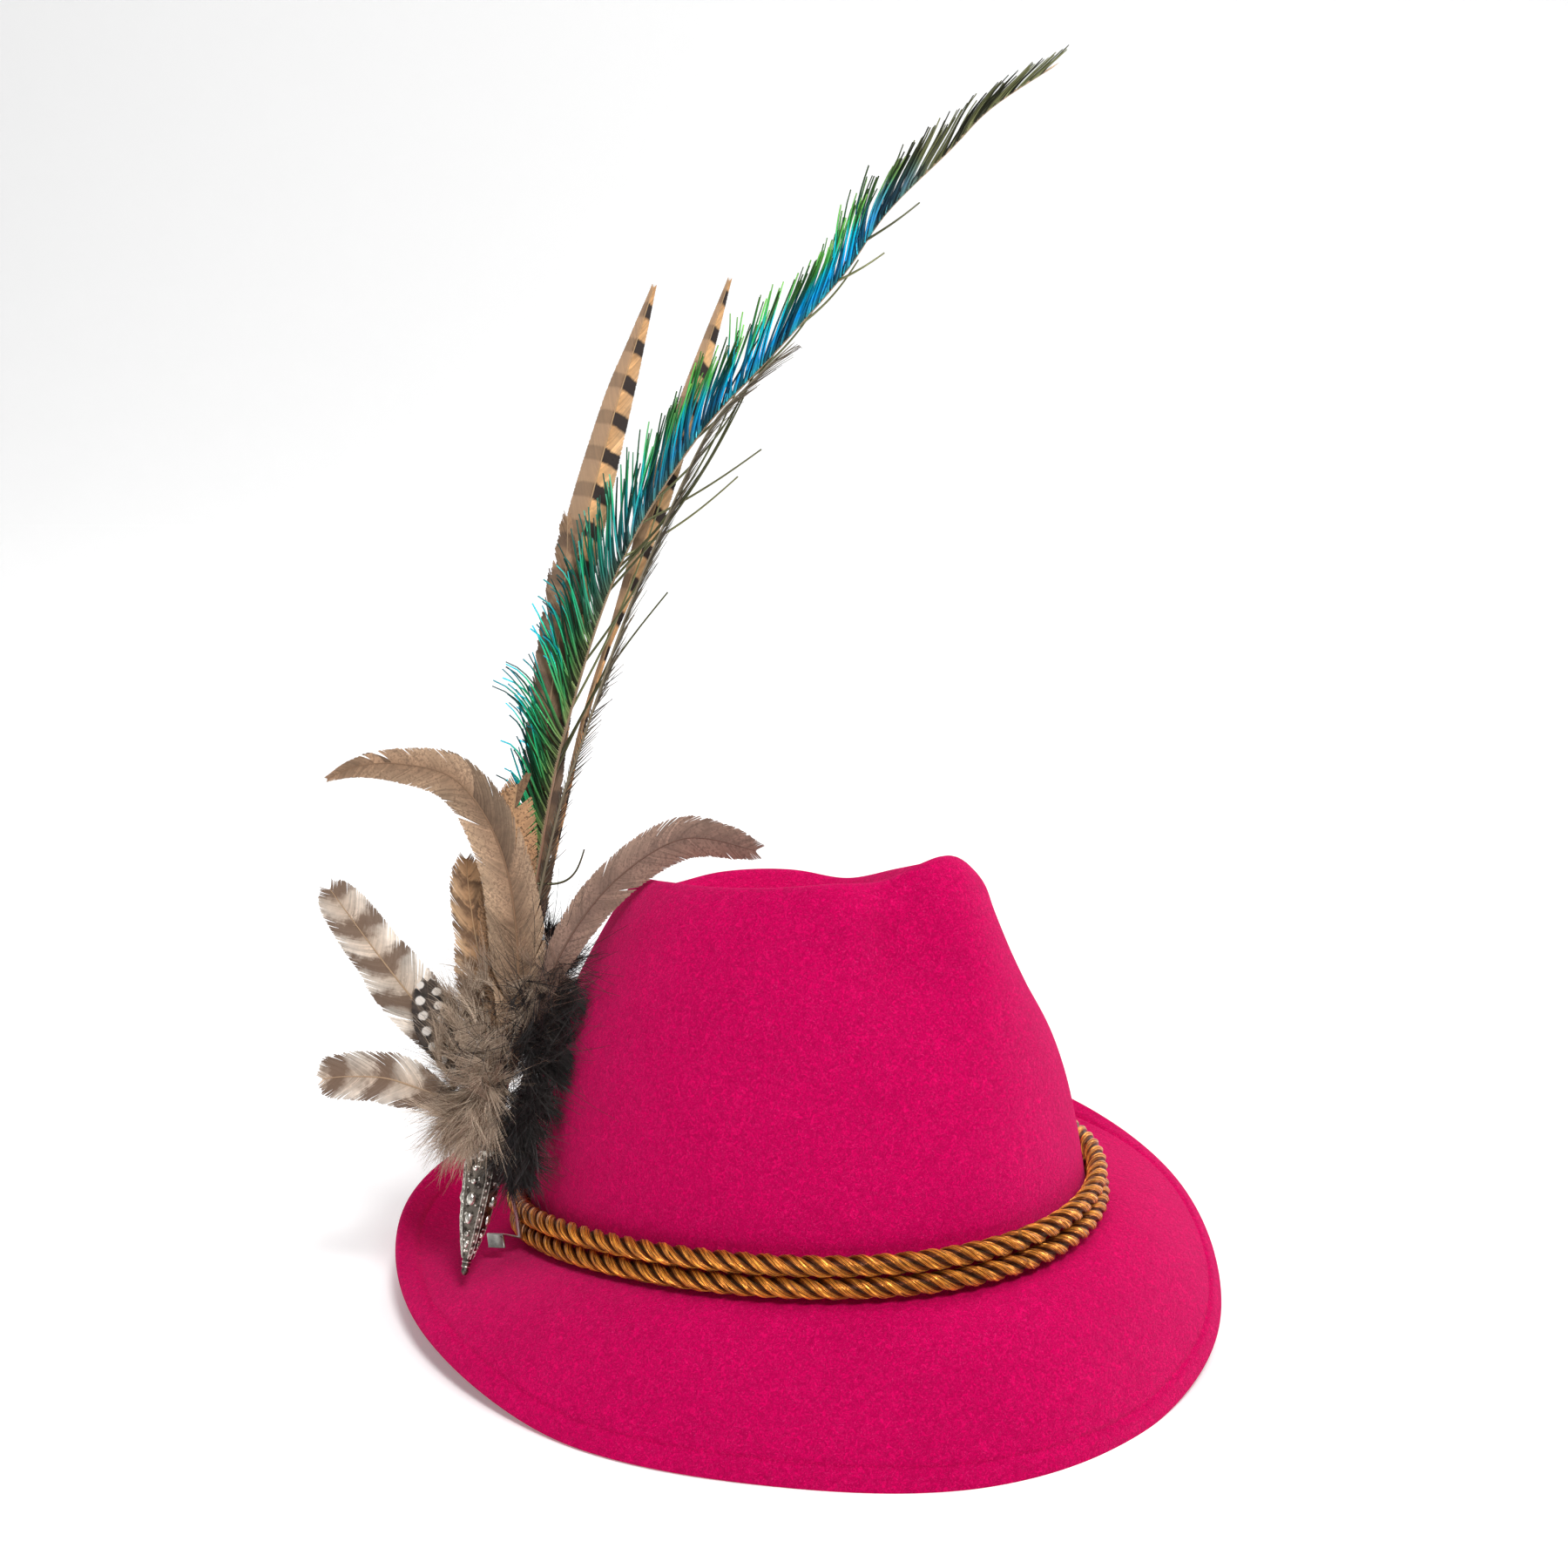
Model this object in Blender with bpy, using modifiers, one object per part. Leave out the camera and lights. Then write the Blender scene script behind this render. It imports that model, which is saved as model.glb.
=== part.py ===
"""Tyrolean hat: one felt body, two gold cords, a metal feather holder with its clip, and a plume.

Every piece is modelled in the hat's own frame: the plane z = 0 is where the crown meets the brim, the
front of the hat points along -Y and the wearer's left along +X.  An empty then tips that frame back so
that the hat lies by itself on its front lip and on the bottom of its turned-up back.
"""
import math
from collections import namedtuple

import bmesh
import bpy
from mathutils import Matrix, Vector

# Felt body
HEAD_HALF_WIDTH = 0.084
HEAD_HALF_LENGTH = 0.1035
BASE_SADDLE = 0.0038
FELT = 0.0022
HEM = 0.0034
HEM_WIDTH = 0.008
CROWN_HEIGHT = 0.123
TOP_HALF_WIDTH = 0.056
TOP_HALF_LENGTH = 0.067
TOP_FORWARD = 0.020
CREST_LEAN = 0.008
SHOULDER_DROP = 0.0075
SHOULDER_INSET = 0.0075
CREASE_DEPTH = 0.026
CREASE_HALF_LENGTH = 0.026
CREASE_HALF_WIDTH = 0.009
CREASE_FALL = 0.04
NOSE_TURN = math.radians(17.0)
PINCH_SPREAD = math.radians(31.0)
PINCH_REACH = math.radians(15.0)
PINCH_DEPTH = 0.009
PINCH_DIP = 0.0035
PINCH_HEIGHT = 0.096
PINCH_SPAN = 0.025
BRIM_WIDTH = 0.062
DROOP_TURN = math.radians(-17.0)
CONTACT_SINK = 0.0004
SIDE_SHIFT = 0.0037
BACK_SHIFT = -0.0034
COLUMNS = 60
HEM_ROUNDING = 0.3

# Cords
CORD_RADIUS = 0.0033
CLEARANCE = 0.0003
CORD_POINTS = 60

# Holder and clip
ORNAMENT_ANGLE = math.radians(-111.0)
HOLDER_LENGTH = 0.0535
HOLDER_RADIUS = 0.0082
HOLDER_WALL = 0.0009
HOLDER_SIDES = 24
HOLDER_LEAN = (0.175, 0.980, -0.097)
HOLDER_GAP = 0.0100
TIP_RISE = 0.0015
PANEL_RELIEF = 0.0005
PANEL_START = 0.2
PANEL_END = 0.9
PANEL_SIDES = 4
CLIP_THICKNESS = 0.0008
CLIP_WIDTH = 0.003
CLIP_TOP = 0.66
CLIP_TOP_RADIUS = 0.80
TAB_WIDTH = 0.0062
TAB_LENGTH = 0.0046
TAB_STAND = 0.0080
TAB_RISE = 0.0030
TAB_TURN = math.radians(42.0)

# Plume
PLUME_TURN = math.radians(36.6)
PLUME_LEAN = math.radians(8.0)
PLUME_ROLL = math.radians(-6.7)
FAN_SIDE = 0.0086
FAN_RISE = -0.0018
QUILL_RADIUS = 0.0006
VANE_THICKNESS = 0.0007
ROOT_DEPTH = 0.006
EXIT_LENGTH = 0.007
LAYER_STEP = 0.00075
COLUMN_STEP = 0.0019
LAYER_SPREAD = 0.022
SPREAD_REACH = 0.08
VANE_SHOULDER = 0.45
FEATHER_STATIONS = 14

# Brim by angle from the front, as shares of the brim width: how far the edge stands out, how high it
# stands, and where the bend between crown and edge lies.
Brim = namedtuple("Brim", "angle run rise bend_run bend_rise")
BRIM = (
    Brim(0, 0.437, -0.861, 0.36, -0.10),
    Brim(30, 0.450, -0.861, 0.36, -0.10),
    Brim(60, 0.627, -0.663, 0.40, -0.05),
    Brim(90, 0.747, -0.265, 0.45, -0.04),
    Brim(120, 0.716, 0.115, 0.52, -0.10),
    Brim(150, 0.663, 0.305, 0.52, -0.12),
    Brim(180, 0.579, 0.452, 0.48, -0.12),
)

# Crest of the crown by angle from its nose, as shares of the crown height.
Crest = namedtuple("Crest", "angle height")
CREST = (Crest(0, 1.0), Crest(30, 0.965), Crest(60, 0.925), Crest(90, 0.91), Crest(120, 0.91),
         Crest(150, 0.90), Crest(180, 0.87))

# Crown wall from the cords up to the shoulder: share of the rise and share of the way inward.
# Uneven places along the rim of the crown: angle from the front, height and reach in degrees.
Swell = namedtuple("Swell", "angle lift reach")
SWELLS = (Swell(75, 0.004, 25), Swell(122, -0.003, 14))

Wall = namedtuple("Wall", "rise inset")
WALL = (Wall(0.0, 0.0), Wall(0.025, 0.004), Wall(0.12, 0.02), Wall(0.27, 0.07), Wall(0.42, 0.17),
        Wall(0.56, 0.32), Wall(0.70, 0.50), Wall(0.82, 0.68), Wall(0.92, 0.85), Wall(1.0, 1.0))

# Top of the crown from the crest in to the crease: share of the way inward and share of the depth.
Top = namedtuple("Top", "inward depth")
TOP = (Top(0.0, 0.0), Top(0.16, 0.10), Top(0.38, 0.42), Top(0.62, 0.78), Top(0.84, 0.95), Top(1.0, 1.0))

# Shares of the brim's way out where the felt is cut into rows.
BRIM_ROWS = (0.05, 0.16, 0.31, 0.47, 0.62, 0.76, 0.87, 0.94, 1.0)

# Holder profile from the pointed tip up to the mouth: share of the length, share of the mouth radius.
Turned = namedtuple("Turned", "along radius")
HOLDER = (Turned(0.0, 0.09), Turned(0.02, 0.15), Turned(0.045, 0.12), Turned(0.06, 0.17),
          Turned(0.08, 0.155), Turned(0.19, 0.36), Turned(0.28, 0.49), Turned(0.38, 0.59),
          Turned(0.52, 0.69), Turned(0.70, 0.80), Turned(0.86, 0.90), Turned(0.96, 0.97),
          Turned(0.98, 1.02), Turned(1.0, 1.0))
BORE = (Turned(1.0, 1.0), Turned(0.86, 0.90), Turned(0.52, 0.69), Turned(0.28, 0.49))

# Each feather: length, lean from upright in degrees, vane width, column in the holder's mouth, layer
# from the crown outward, and its shape.
Feather = namedtuple("Feather", "name finish length lean width column layer shape")
FEATHERS = (
    Feather("pheasant_tail_short", "tan", 0.2785, 13.7, 0.0085, 1, 0, "short_tail"),
    Feather("pheasant_tail_long", "tan", 0.2710, 8.8, 0.0130, 0, 1, "long_tail"),
    Feather("pheasant_tail_ragged", "brown", 0.1925, 4.0, 0.0140, -1, 2, "ragged_tail"),
    Feather("peacock_sword", "peacock", 0.3797, 27.0, 0.0160, 1, 3, "sword"),
    Feather("peacock_side", "olive", 0.2627, 19.4, 0.0060, 0, 4, "side_stem"),
    Feather("grizzly_upper", "grizzly", 0.0949, -40.7, 0.0170, -1, 5, "broad"),
    Feather("feather_barred", "tan", 0.0837, -12.3, 0.0130, 0, 6, "upright"),
    Feather("guinea_feather", "guinea", 0.0521, -35.0, 0.0130, -1, 7, "short"),
    Feather("feather_speckled", "brown", 0.1055, -0.5, 0.0170, 0, 8, "upright"),
    Feather("grizzly_lower", "grizzly", 0.0636, -79.0, 0.0160, -1, 9, "low"),
    Feather("hackle_curled", "brown", 0.1228, -29.5, 0.0150, 0, 10, "curled"),
    Feather("hackle_right", "brown", 0.1132, 41.7, 0.0115, 1, 11, "right_hackle"),
)

# Shape of a feather along its chord: share along, share of the length to the side, and the shares of
# the vane width left and right of the quill.
Vane = namedtuple("Vane", "along side left right")
SHAPES = {
    "right_hackle": (
        Vane(0.2, -0.137, 0.05, 0.05), Vane(0.43, -0.22, 0.35, 0.35), Vane(0.67, -0.24, 0.5, 0.5),
        Vane(0.89, -0.175, 0.48, 0.45), Vane(1.0, 0.0, 0.08, 0.08),
    ),
    "short_tail": (
        Vane(0.33, -0.041, 0.4, 0.4), Vane(0.48, -0.042, 0.5, 0.5), Vane(0.65, -0.027, 0.5, 0.5),
        Vane(0.83, -0.013, 0.4, 0.4), Vane(1.0, 0.0, 0.06, 0.06),
    ),
    "long_tail": (
        Vane(0.28, -0.035, 0.35, 0.35), Vane(0.49, -0.041, 0.46, 0.46), Vane(0.66, -0.041, 0.5, 0.5),
        Vane(0.83, -0.025, 0.36, 0.36), Vane(0.92, -0.012, 0.2, 0.2), Vane(1.0, 0.0, 0.05, 0.05),
    ),
    "ragged_tail": (
        Vane(0.33, -0.014, 0.4, 0.4), Vane(0.62, -0.01, 0.5, 0.5), Vane(0.81, 0.001, 0.45, 0.45),
        Vane(0.93, 0.004, 0.25, 0.22), Vane(1.0, 0.0, 0.08, 0.08),
    ),
    "sword": (
        Vane(0.2, -0.088, 0.45, 0.12), Vane(0.31, -0.118, 0.8, 0.18), Vane(0.45, -0.139, 0.7, 0.18),
        Vane(0.575, -0.13, 0.7, 0.16), Vane(0.67, -0.104, 0.66, 0.16), Vane(0.756, -0.082, 0.6, 0.14),
        Vane(0.82, -0.073, 0.35, 0.2), Vane(0.89, -0.05, 0.25, 0.18), Vane(0.94, -0.034, 0.2, 0.16),
        Vane(1.0, 0.0, 0.05, 0.05),
    ),
    "side_stem": (
        Vane(0.33, -0.079, 0.3, 0.6), Vane(0.45, -0.083, 0.3, 0.6), Vane(0.64, -0.083, 0.3, 0.5),
        Vane(0.85, -0.066, 0.25, 0.45), Vane(0.93, -0.037, 0.2, 0.35), Vane(1.0, 0.0, 0.1, 0.1),
    ),
    "upright": (
        Vane(0.34, -0.02, 0.4, 0.4), Vane(0.63, -0.03, 0.52, 0.5), Vane(0.85, -0.018, 0.45, 0.45),
        Vane(1.0, 0.0, 0.15, 0.15),
    ),
    "broad": (
        Vane(0.29, -0.03, 0.25, 0.25), Vane(0.5, -0.03, 0.45, 0.45), Vane(0.7, -0.022, 0.5, 0.5),
        Vane(0.9, -0.008, 0.4, 0.4), Vane(1.0, 0.0, 0.14, 0.14),
    ),
    "curled": (
        Vane(0.26, 0.14, 0.4, 0.4), Vane(0.5, 0.264, 0.5, 0.45), Vane(0.68, 0.308, 0.52, 0.5),
        Vane(0.84, 0.287, 0.48, 0.45), Vane(0.94, 0.187, 0.36, 0.3), Vane(0.99, 0.086, 0.2, 0.16),
        Vane(1.0, 0.0, 0.05, 0.05),
    ),
    "low": (
        Vane(0.32, 0.009, 0.12, 0.12), Vane(0.5, 0.035, 0.4, 0.4), Vane(0.69, 0.06, 0.5, 0.5),
        Vane(0.88, 0.035, 0.4, 0.4), Vane(1.0, 0.0, 0.1, 0.1),
    ),
    "short": (
        Vane(0.3, -0.127, 0.15, 0.15), Vane(0.48, -0.145, 0.4, 0.4), Vane(0.68, -0.145, 0.5, 0.5),
        Vane(0.88, -0.07, 0.38, 0.38), Vane(1.0, 0.0, 0.12, 0.12),
    ),
}

# Fur locks: lean from upright in degrees and length.
Lock = namedtuple("Lock", "lean length")
BLACK_LOCKS = (Lock(-14, 0.040), Lock(-6, 0.050), Lock(2, 0.054), Lock(9, 0.050), Lock(16, 0.036))
GREY_LOCKS = (Lock(-34, 0.024), Lock(-18, 0.030), Lock(-2, 0.034), Lock(14, 0.030))
STEM_PLACE = 0.0050
STEM_SIDE = 0.0015
STEM_RADIUS = 0.0013
STEM_LENGTH = 0.003
LOCK_RADIUS = 0.0040
LOCK_SIDES = 8
LOCK_TIP = 0.4
LOCK_STAND = 0.0050
LOCK_RISE = 0.0112
LOCK_OUTWARD = 0.10
FUR_FACE_SHARE = 0.065
FUR_VOXEL = 0.0011

Finish = namedtuple("Finish", "colour roughness metallic")
FINISHES = {
    "felt": Finish((0.62, 0.010, 0.085, 1.0), 0.90, 0.0),
    "gold_cord": Finish((0.52, 0.21, 0.035, 1.0), 0.42, 0.0),
    "old_silver": Finish((0.45, 0.44, 0.42, 1.0), 0.33, 1.0),
    "black_fur": Finish((0.012, 0.011, 0.012, 1.0), 0.80, 0.0),
    "grey_fluff": Finish((0.34, 0.30, 0.27, 1.0), 0.90, 0.0),
    "brown": Finish((0.30, 0.20, 0.13, 1.0), 0.60, 0.0),
    "tan": Finish((0.46, 0.30, 0.17, 1.0), 0.60, 0.0),
    "grizzly": Finish((0.52, 0.46, 0.40, 1.0), 0.65, 0.0),
    "guinea": Finish((0.08, 0.07, 0.065, 1.0), 0.60, 0.0),
    "peacock": Finish((0.01, 0.27, 0.25, 1.0), 0.40, 0.1),
    "olive": Finish((0.10, 0.09, 0.035, 1.0), 0.55, 0.0),
}


def clear_scene():
    """Empty the file that the script runs in."""
    for item in list(bpy.data.objects):
        bpy.data.objects.remove(item, do_unlink=True)


def new_collection(name):
    """Make a collection in the scene."""
    collection = bpy.data.collections.new(name)
    bpy.context.scene.collection.children.link(collection)
    return collection


def make_material(name):
    """Principled material of one of the named finishes."""
    found = bpy.data.materials.get(name)
    if found:
        return found
    finish = FINISHES[name]
    material = bpy.data.materials.new(name)
    material.use_nodes = True
    shader = material.node_tree.nodes["Principled BSDF"]
    shader.inputs["Base Color"].default_value = finish.colour
    shader.inputs["Roughness"].default_value = finish.roughness
    shader.inputs["Metallic"].default_value = finish.metallic
    return material


def add_object(name, data, finish, collection, parent):
    """Put a mesh or curve in the scene as one named piece."""
    piece = bpy.data.objects.new(name, data)
    collection.objects.link(piece)
    piece.parent = parent
    piece.data.materials.append(make_material(finish))
    return piece


def catmull(before, start, end, after, share):
    """Smooth value between start and end."""
    slope_start = (end - before) * 0.5
    slope_end = (after - start) * 0.5
    square = share * share
    cube = square * share
    return (start * (2.0 * cube - 3.0 * square + 1.0) + slope_start * (cube - 2.0 * square + share)
            + end * (3.0 * square - 2.0 * cube) + slope_end * (cube - square))


def around(table, column, angle):
    """Value of a table by angle from the front, the same on both sides of the hat."""
    values = [getattr(row, column) for row in table]
    last = len(values) - 1
    place = min(abs(math.degrees(angle)) / table[1].angle, last - 0.000001)
    row = int(place)
    after = row + 2 if row + 2 <= last else 2 * last - row - 2
    return catmull(values[abs(row - 1)], values[row], values[row + 1], values[after], place - row)


def wrap(angle):
    """Angle between minus and plus half a turn."""
    return (angle + math.pi) % (2.0 * math.pi) - math.pi


def oval(angle, half_width, half_length, forward=0.0):
    """Point of an oval in plan, counted from the front toward the wearer's left."""
    return Vector((half_width * math.sin(angle), -half_length * math.cos(angle) - forward, 0.0))


def outward(angle):
    """Outward direction of the head oval in plan."""
    return Vector((math.sin(angle) / HEAD_HALF_WIDTH, -math.cos(angle) / HEAD_HALF_LENGTH, 0.0)).normalized()


def base_point(angle):
    """Where the crown meets the brim, low at the front and back and high at the sides."""
    point = oval(angle, HEAD_HALF_WIDTH, HEAD_HALF_LENGTH)
    point.z = -BASE_SADDLE * math.cos(2.0 * angle)
    return point


def brim_curve(angle, share, lift=0.0):
    """Upper surface of the brim from the crown (0) to the edge (1), with the edge lifted."""
    turned = wrap(angle - DROOP_TURN)
    run = BRIM_WIDTH * around(BRIM, "run", turned)
    rise = BRIM_WIDTH * around(BRIM, "rise", turned) + lift
    bend_run = BRIM_WIDTH * around(BRIM, "bend_run", turned)
    bend_rise = BRIM_WIDTH * around(BRIM, "bend_rise", turned)
    middle = 2.0 * share * (1.0 - share)
    across = middle * bend_run + share * share * run
    up = middle * bend_rise + share * share * rise
    return base_point(angle) + outward(angle) * across + Vector((0.0, 0.0, up))


def lying_line():
    """Front lip that the hat lies on, and the slope from there back to the bottom of the back brim."""
    front = brim_curve(0.0, 1.0)
    slopes = []
    for share in BRIM_ROWS:
        back = brim_curve(math.pi, share)
        slopes.append((back.z - FELT - front.z) / (back.y - front.y))
    return front, min(slopes)


def brim_point(angle, share):
    """Upper surface of the brim, with its edge kept above the surface that the hat lies on."""
    front, slope = lying_line()
    edge = brim_curve(angle, 1.0)
    lift = front.z + (edge.y - front.y) * slope - edge.z
    return brim_curve(angle, share, max(0.0, lift))


def crest_height(angle):
    """Height of the crown's rim above the base, with a dip at each pinch."""
    turned = wrap(angle - NOSE_TURN)
    height = CROWN_HEIGHT * around(CREST, "height", turned) - CREST_LEAN * math.sin(angle)
    for swell in SWELLS:
        away = wrap(angle - math.radians(swell.angle)) / math.radians(swell.reach)
        height += swell.lift * math.exp(-away * away)
    return height - PINCH_DIP * math.exp(-((abs(turned) - PINCH_SPREAD) / PINCH_REACH) ** 2)


def pinch(point, angle):
    """Push a point of the crown inward where the front pinches lie."""
    turned = abs(wrap(angle - NOSE_TURN))
    near = math.exp(-((turned - PINCH_SPREAD) / PINCH_REACH) ** 2)
    level = math.exp(-((point.z - PINCH_HEIGHT) / PINCH_SPAN) ** 2)
    return point - outward(angle) * (PINCH_DEPTH * near * level)


def wall_point(angle, rise, inset):
    """Crown wall between the base oval and the shoulder oval."""
    low = base_point(angle)
    high = oval(angle, TOP_HALF_WIDTH, TOP_HALF_LENGTH, TOP_FORWARD)
    point = low.lerp(high, inset)
    point.z = low.z + (crest_height(angle) - SHOULDER_DROP - low.z) * rise
    return pinch(point, angle)


def top_point(angle, inward, depth):
    """Top of the crown between its crest and the crease."""
    crest = oval(angle, TOP_HALF_WIDTH - SHOULDER_INSET, TOP_HALF_LENGTH - SHOULDER_INSET, TOP_FORWARD)
    floor = oval(angle, CREASE_HALF_WIDTH, CREASE_HALF_LENGTH, TOP_FORWARD)
    point = crest.lerp(floor, inward)
    point.z = crest_height(angle)
    point = pinch(point, angle)
    floor_height = CROWN_HEIGHT * (1.0 - CREASE_FALL * (1.0 - math.cos(angle))) - CREASE_DEPTH
    point.z += (floor_height - point.z) * depth
    return point


def felt_rows(angle):
    """Outer surface of the felt along one line from the crease out to the brim's edge."""
    line = [top_point(angle, row.inward, row.depth) for row in reversed(TOP)]
    line += [wall_point(angle, row.rise, row.inset) for row in reversed(WALL)]
    line += [brim_point(angle, share) for share in BRIM_ROWS]
    return line


def make_felt_body(collection, parent, lying_box):
    """Crown and brim as one wall of felt with a thicker hem."""
    mesh = bmesh.new()
    lines = []
    for column in range(COLUMNS):
        angle = wrap(2.0 * math.pi * column / COLUMNS)
        lines.append([mesh.verts.new(point) for point in felt_rows(angle)])
    rows = len(lines[0])
    for column in range(COLUMNS):
        here = lines[column]
        there = lines[(column + 1) % COLUMNS]
        for row in range(rows - 1):
            mesh.faces.new((here[row], here[row + 1], there[row + 1], there[row]))
    mesh.faces.new([line[0] for line in lines])
    data = bpy.data.meshes.new("felt_body")
    mesh.to_mesh(data)
    mesh.free()
    data.shade_smooth()
    body = add_object("felt_body", data, "felt", collection, parent)
    hem = body.vertex_groups.new(name="hem")
    hem_start = 1.0 - HEM_WIDTH / BRIM_WIDTH
    for column in range(COLUMNS):
        for place, share in enumerate(BRIM_ROWS):
            if share > hem_start:
                row = rows - len(BRIM_ROWS) + place
                hem.add([column * rows + row], 1.0, "REPLACE")
    shell = body.modifiers.new("felt", "SOLIDIFY")
    shell.thickness = HEM
    shell.offset = -1.0
    shell.vertex_group = "hem"
    shell.thickness_vertex_group = FELT / HEM
    shell.use_even_offset = True
    rounding = body.modifiers.new("round_edge", "BEVEL")
    rounding.width = HEM * HEM_ROUNDING
    rounding.segments = 1
    rounding.limit_method = "ANGLE"
    rounding.angle_limit = math.radians(60.0)
    flat = body.modifiers.new("lies_flat", "BOOLEAN")
    flat.operation = "DIFFERENCE"
    flat.object = lying_box
    return body


def make_cord(name, level, collection, parent):
    """One cord round the crown, a closed ring on the felt."""
    data = bpy.data.curves.new(name, "CURVE")
    data.dimensions = "3D"
    data.bevel_depth = CORD_RADIUS
    data.bevel_resolution = 1
    spline = data.splines.new("POLY")
    spline.points.add(CORD_POINTS - 1)
    for number in range(CORD_POINTS):
        angle = wrap(2.0 * math.pi * number / CORD_POINTS)
        point = cord_centre(angle, level)
        spline.points[number].co = (point.x, point.y, point.z, 1.0)
    spline.use_cyclic_u = True
    return add_object(name, data, "gold_cord", collection, parent)


def cord_centre(angle, level):
    """Middle of a cord: level 0 lies in the corner of crown and brim, level 1 on top of it."""
    rise = (2.0 * level + 1.0) * CORD_RADIUS + (level + 1.5) * CLEARANCE
    wall = base_point(angle)
    point = wall + outward(angle) * (CORD_RADIUS + 2.0 * CLEARANCE)
    point.z += rise
    return point


def plume_axes():
    """Right, up and toward-the-viewer directions of the plane that the plume is spread in."""
    turn = Matrix.Rotation(-PLUME_TURN, 3, "Z")
    lean = Matrix.Rotation(-PLUME_LEAN, 3, "X")
    roll = Matrix.Rotation(-PLUME_ROLL, 3, "Y")
    frame = turn @ lean @ roll
    return frame @ Vector((1, 0, 0)), frame @ Vector((0, 0, 1)), frame @ Vector((0, -1, 0))


def holder_axis():
    """Direction from the holder's tip up to its mouth."""
    axes = plume_axes()
    return sum((axis * share for axis, share in zip(axes, HOLDER_LEAN)), Vector()).normalized()


def wall_at(angle, height):
    """Point of the crown wall at a height in the hat's frame."""
    low = base_point(angle).z
    share = (height - low) / (crest_height(angle) - SHOULDER_DROP - low)
    for low_row, high_row in zip(WALL, WALL[1:]):
        if share <= high_row.rise:
            blend = (share - low_row.rise) / (high_row.rise - low_row.rise)
            return wall_point(angle, share, low_row.inset + (high_row.inset - low_row.inset) * blend)
    return wall_point(angle, 1.0, 1.0)


def mouth_centre():
    """Middle of the holder's mouth, beside the crown wall."""
    height = TIP_RISE + HOLDER_LENGTH * holder_axis().z
    return wall_at(ORNAMENT_ANGLE, height) + outward(ORNAMENT_ANGLE) * (HOLDER_RADIUS + HOLDER_GAP)


def make_holder(collection, parent):
    """Hollow pointed cone with raised panels, bands and a beaded mouth."""
    mesh = bmesh.new()
    axis = holder_axis()
    side = axis.cross(Vector((0, 0, 1))).normalized()
    other = axis.cross(side)
    tip = mouth_centre() - axis * HOLDER_LENGTH

    def ring(along, radius, relief):
        points = []
        for number in range(HOLDER_SIDES):
            angle = 2.0 * math.pi * number / HOLDER_SIDES
            reach = radius + (relief if number % PANEL_SIDES == 0 else 0.0)
            offset = side * (math.cos(angle) * reach) + other * (math.sin(angle) * reach)
            points.append(mesh.verts.new(tip + axis * along + offset))
        return points

    outer = []
    for row in HOLDER:
        raised = PANEL_RELIEF if PANEL_START < row.along < PANEL_END else 0.0
        outer.append(ring(HOLDER_LENGTH * row.along, HOLDER_RADIUS * row.radius, raised))
    inner = [ring(HOLDER_LENGTH * row.along, HOLDER_RADIUS * row.radius - HOLDER_WALL, 0.0) for row in BORE]
    rings = outer + inner
    for low, high in zip(rings, rings[1:]):
        for number in range(HOLDER_SIDES):
            after = (number + 1) % HOLDER_SIDES
            mesh.faces.new((low[number], low[after], high[after], high[number]))
    mesh.faces.new(rings[0])
    mesh.faces.new(rings[-1])
    bmesh.ops.recalc_face_normals(mesh, faces=mesh.faces)
    data = bpy.data.meshes.new("feather_holder")
    mesh.to_mesh(data)
    mesh.free()
    return add_object("feather_holder", data, "old_silver", collection, parent)


def loft(name, sections, finish, collection, parent):
    """Closed body through sections of equally many points."""
    mesh = bmesh.new()
    rings = [[mesh.verts.new(point) for point in section] for section in sections]
    count = len(rings[0])
    for low, high in zip(rings, rings[1:]):
        for number in range(count):
            after = (number + 1) % count
            mesh.faces.new((low[number], low[after], high[after], high[number]))
    mesh.faces.new(rings[0])
    mesh.faces.new(rings[-1])
    bmesh.ops.recalc_face_normals(mesh, faces=mesh.faces)
    data = bpy.data.meshes.new(name)
    mesh.to_mesh(data)
    mesh.free()
    return add_object(name, data, finish, collection, parent)


def make_clip(collection, parent):
    """Thin metal strip from the back of the holder over the cords to a small square tab."""
    out = outward(ORNAMENT_ANGLE)
    along = Vector((-out.y, out.x, 0.0))
    axis = holder_axis()
    front = (out - axis * out.dot(axis)).normalized()
    reach = HOLDER_RADIUS * CLIP_TOP_RADIUS + CLEARANCE + CLIP_THICKNESS
    top = mouth_centre() - axis * (HOLDER_LENGTH * (1.0 - CLIP_TOP)) - front * reach
    base = base_point(ORNAMENT_ANGLE) + out * (2.0 * CORD_RADIUS + 3.0 * CLEARANCE)
    upper = Vector((base.x, base.y, cord_centre(ORNAMENT_ANGLE, 1).z))
    lower = Vector((base.x, base.y, cord_centre(ORNAMENT_ANGLE, 0).z))
    tab = lower + out * TAB_STAND + Vector((0.0, 0.0, TAB_RISE))
    turn = Matrix.Rotation(TAB_TURN, 3, "Z")
    rows = (
        (top, CLIP_WIDTH, front, along),
        (upper, CLIP_WIDTH, out, along),
        (lower, CLIP_WIDTH, out, along),
        (tab, TAB_WIDTH, turn @ out, turn @ along),
        (tab - Vector((0.0, 0.0, TAB_LENGTH)), TAB_WIDTH, turn @ out, turn @ along),
    )
    sections = []
    for middle, width, normal, beside in rows:
        half = beside * (width * 0.5)
        thick = normal * CLIP_THICKNESS
        sections.append((middle - half, middle + half, middle + half + thick, middle - half + thick))
    return loft("holder_clip", sections, "old_silver", collection, parent)


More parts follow.
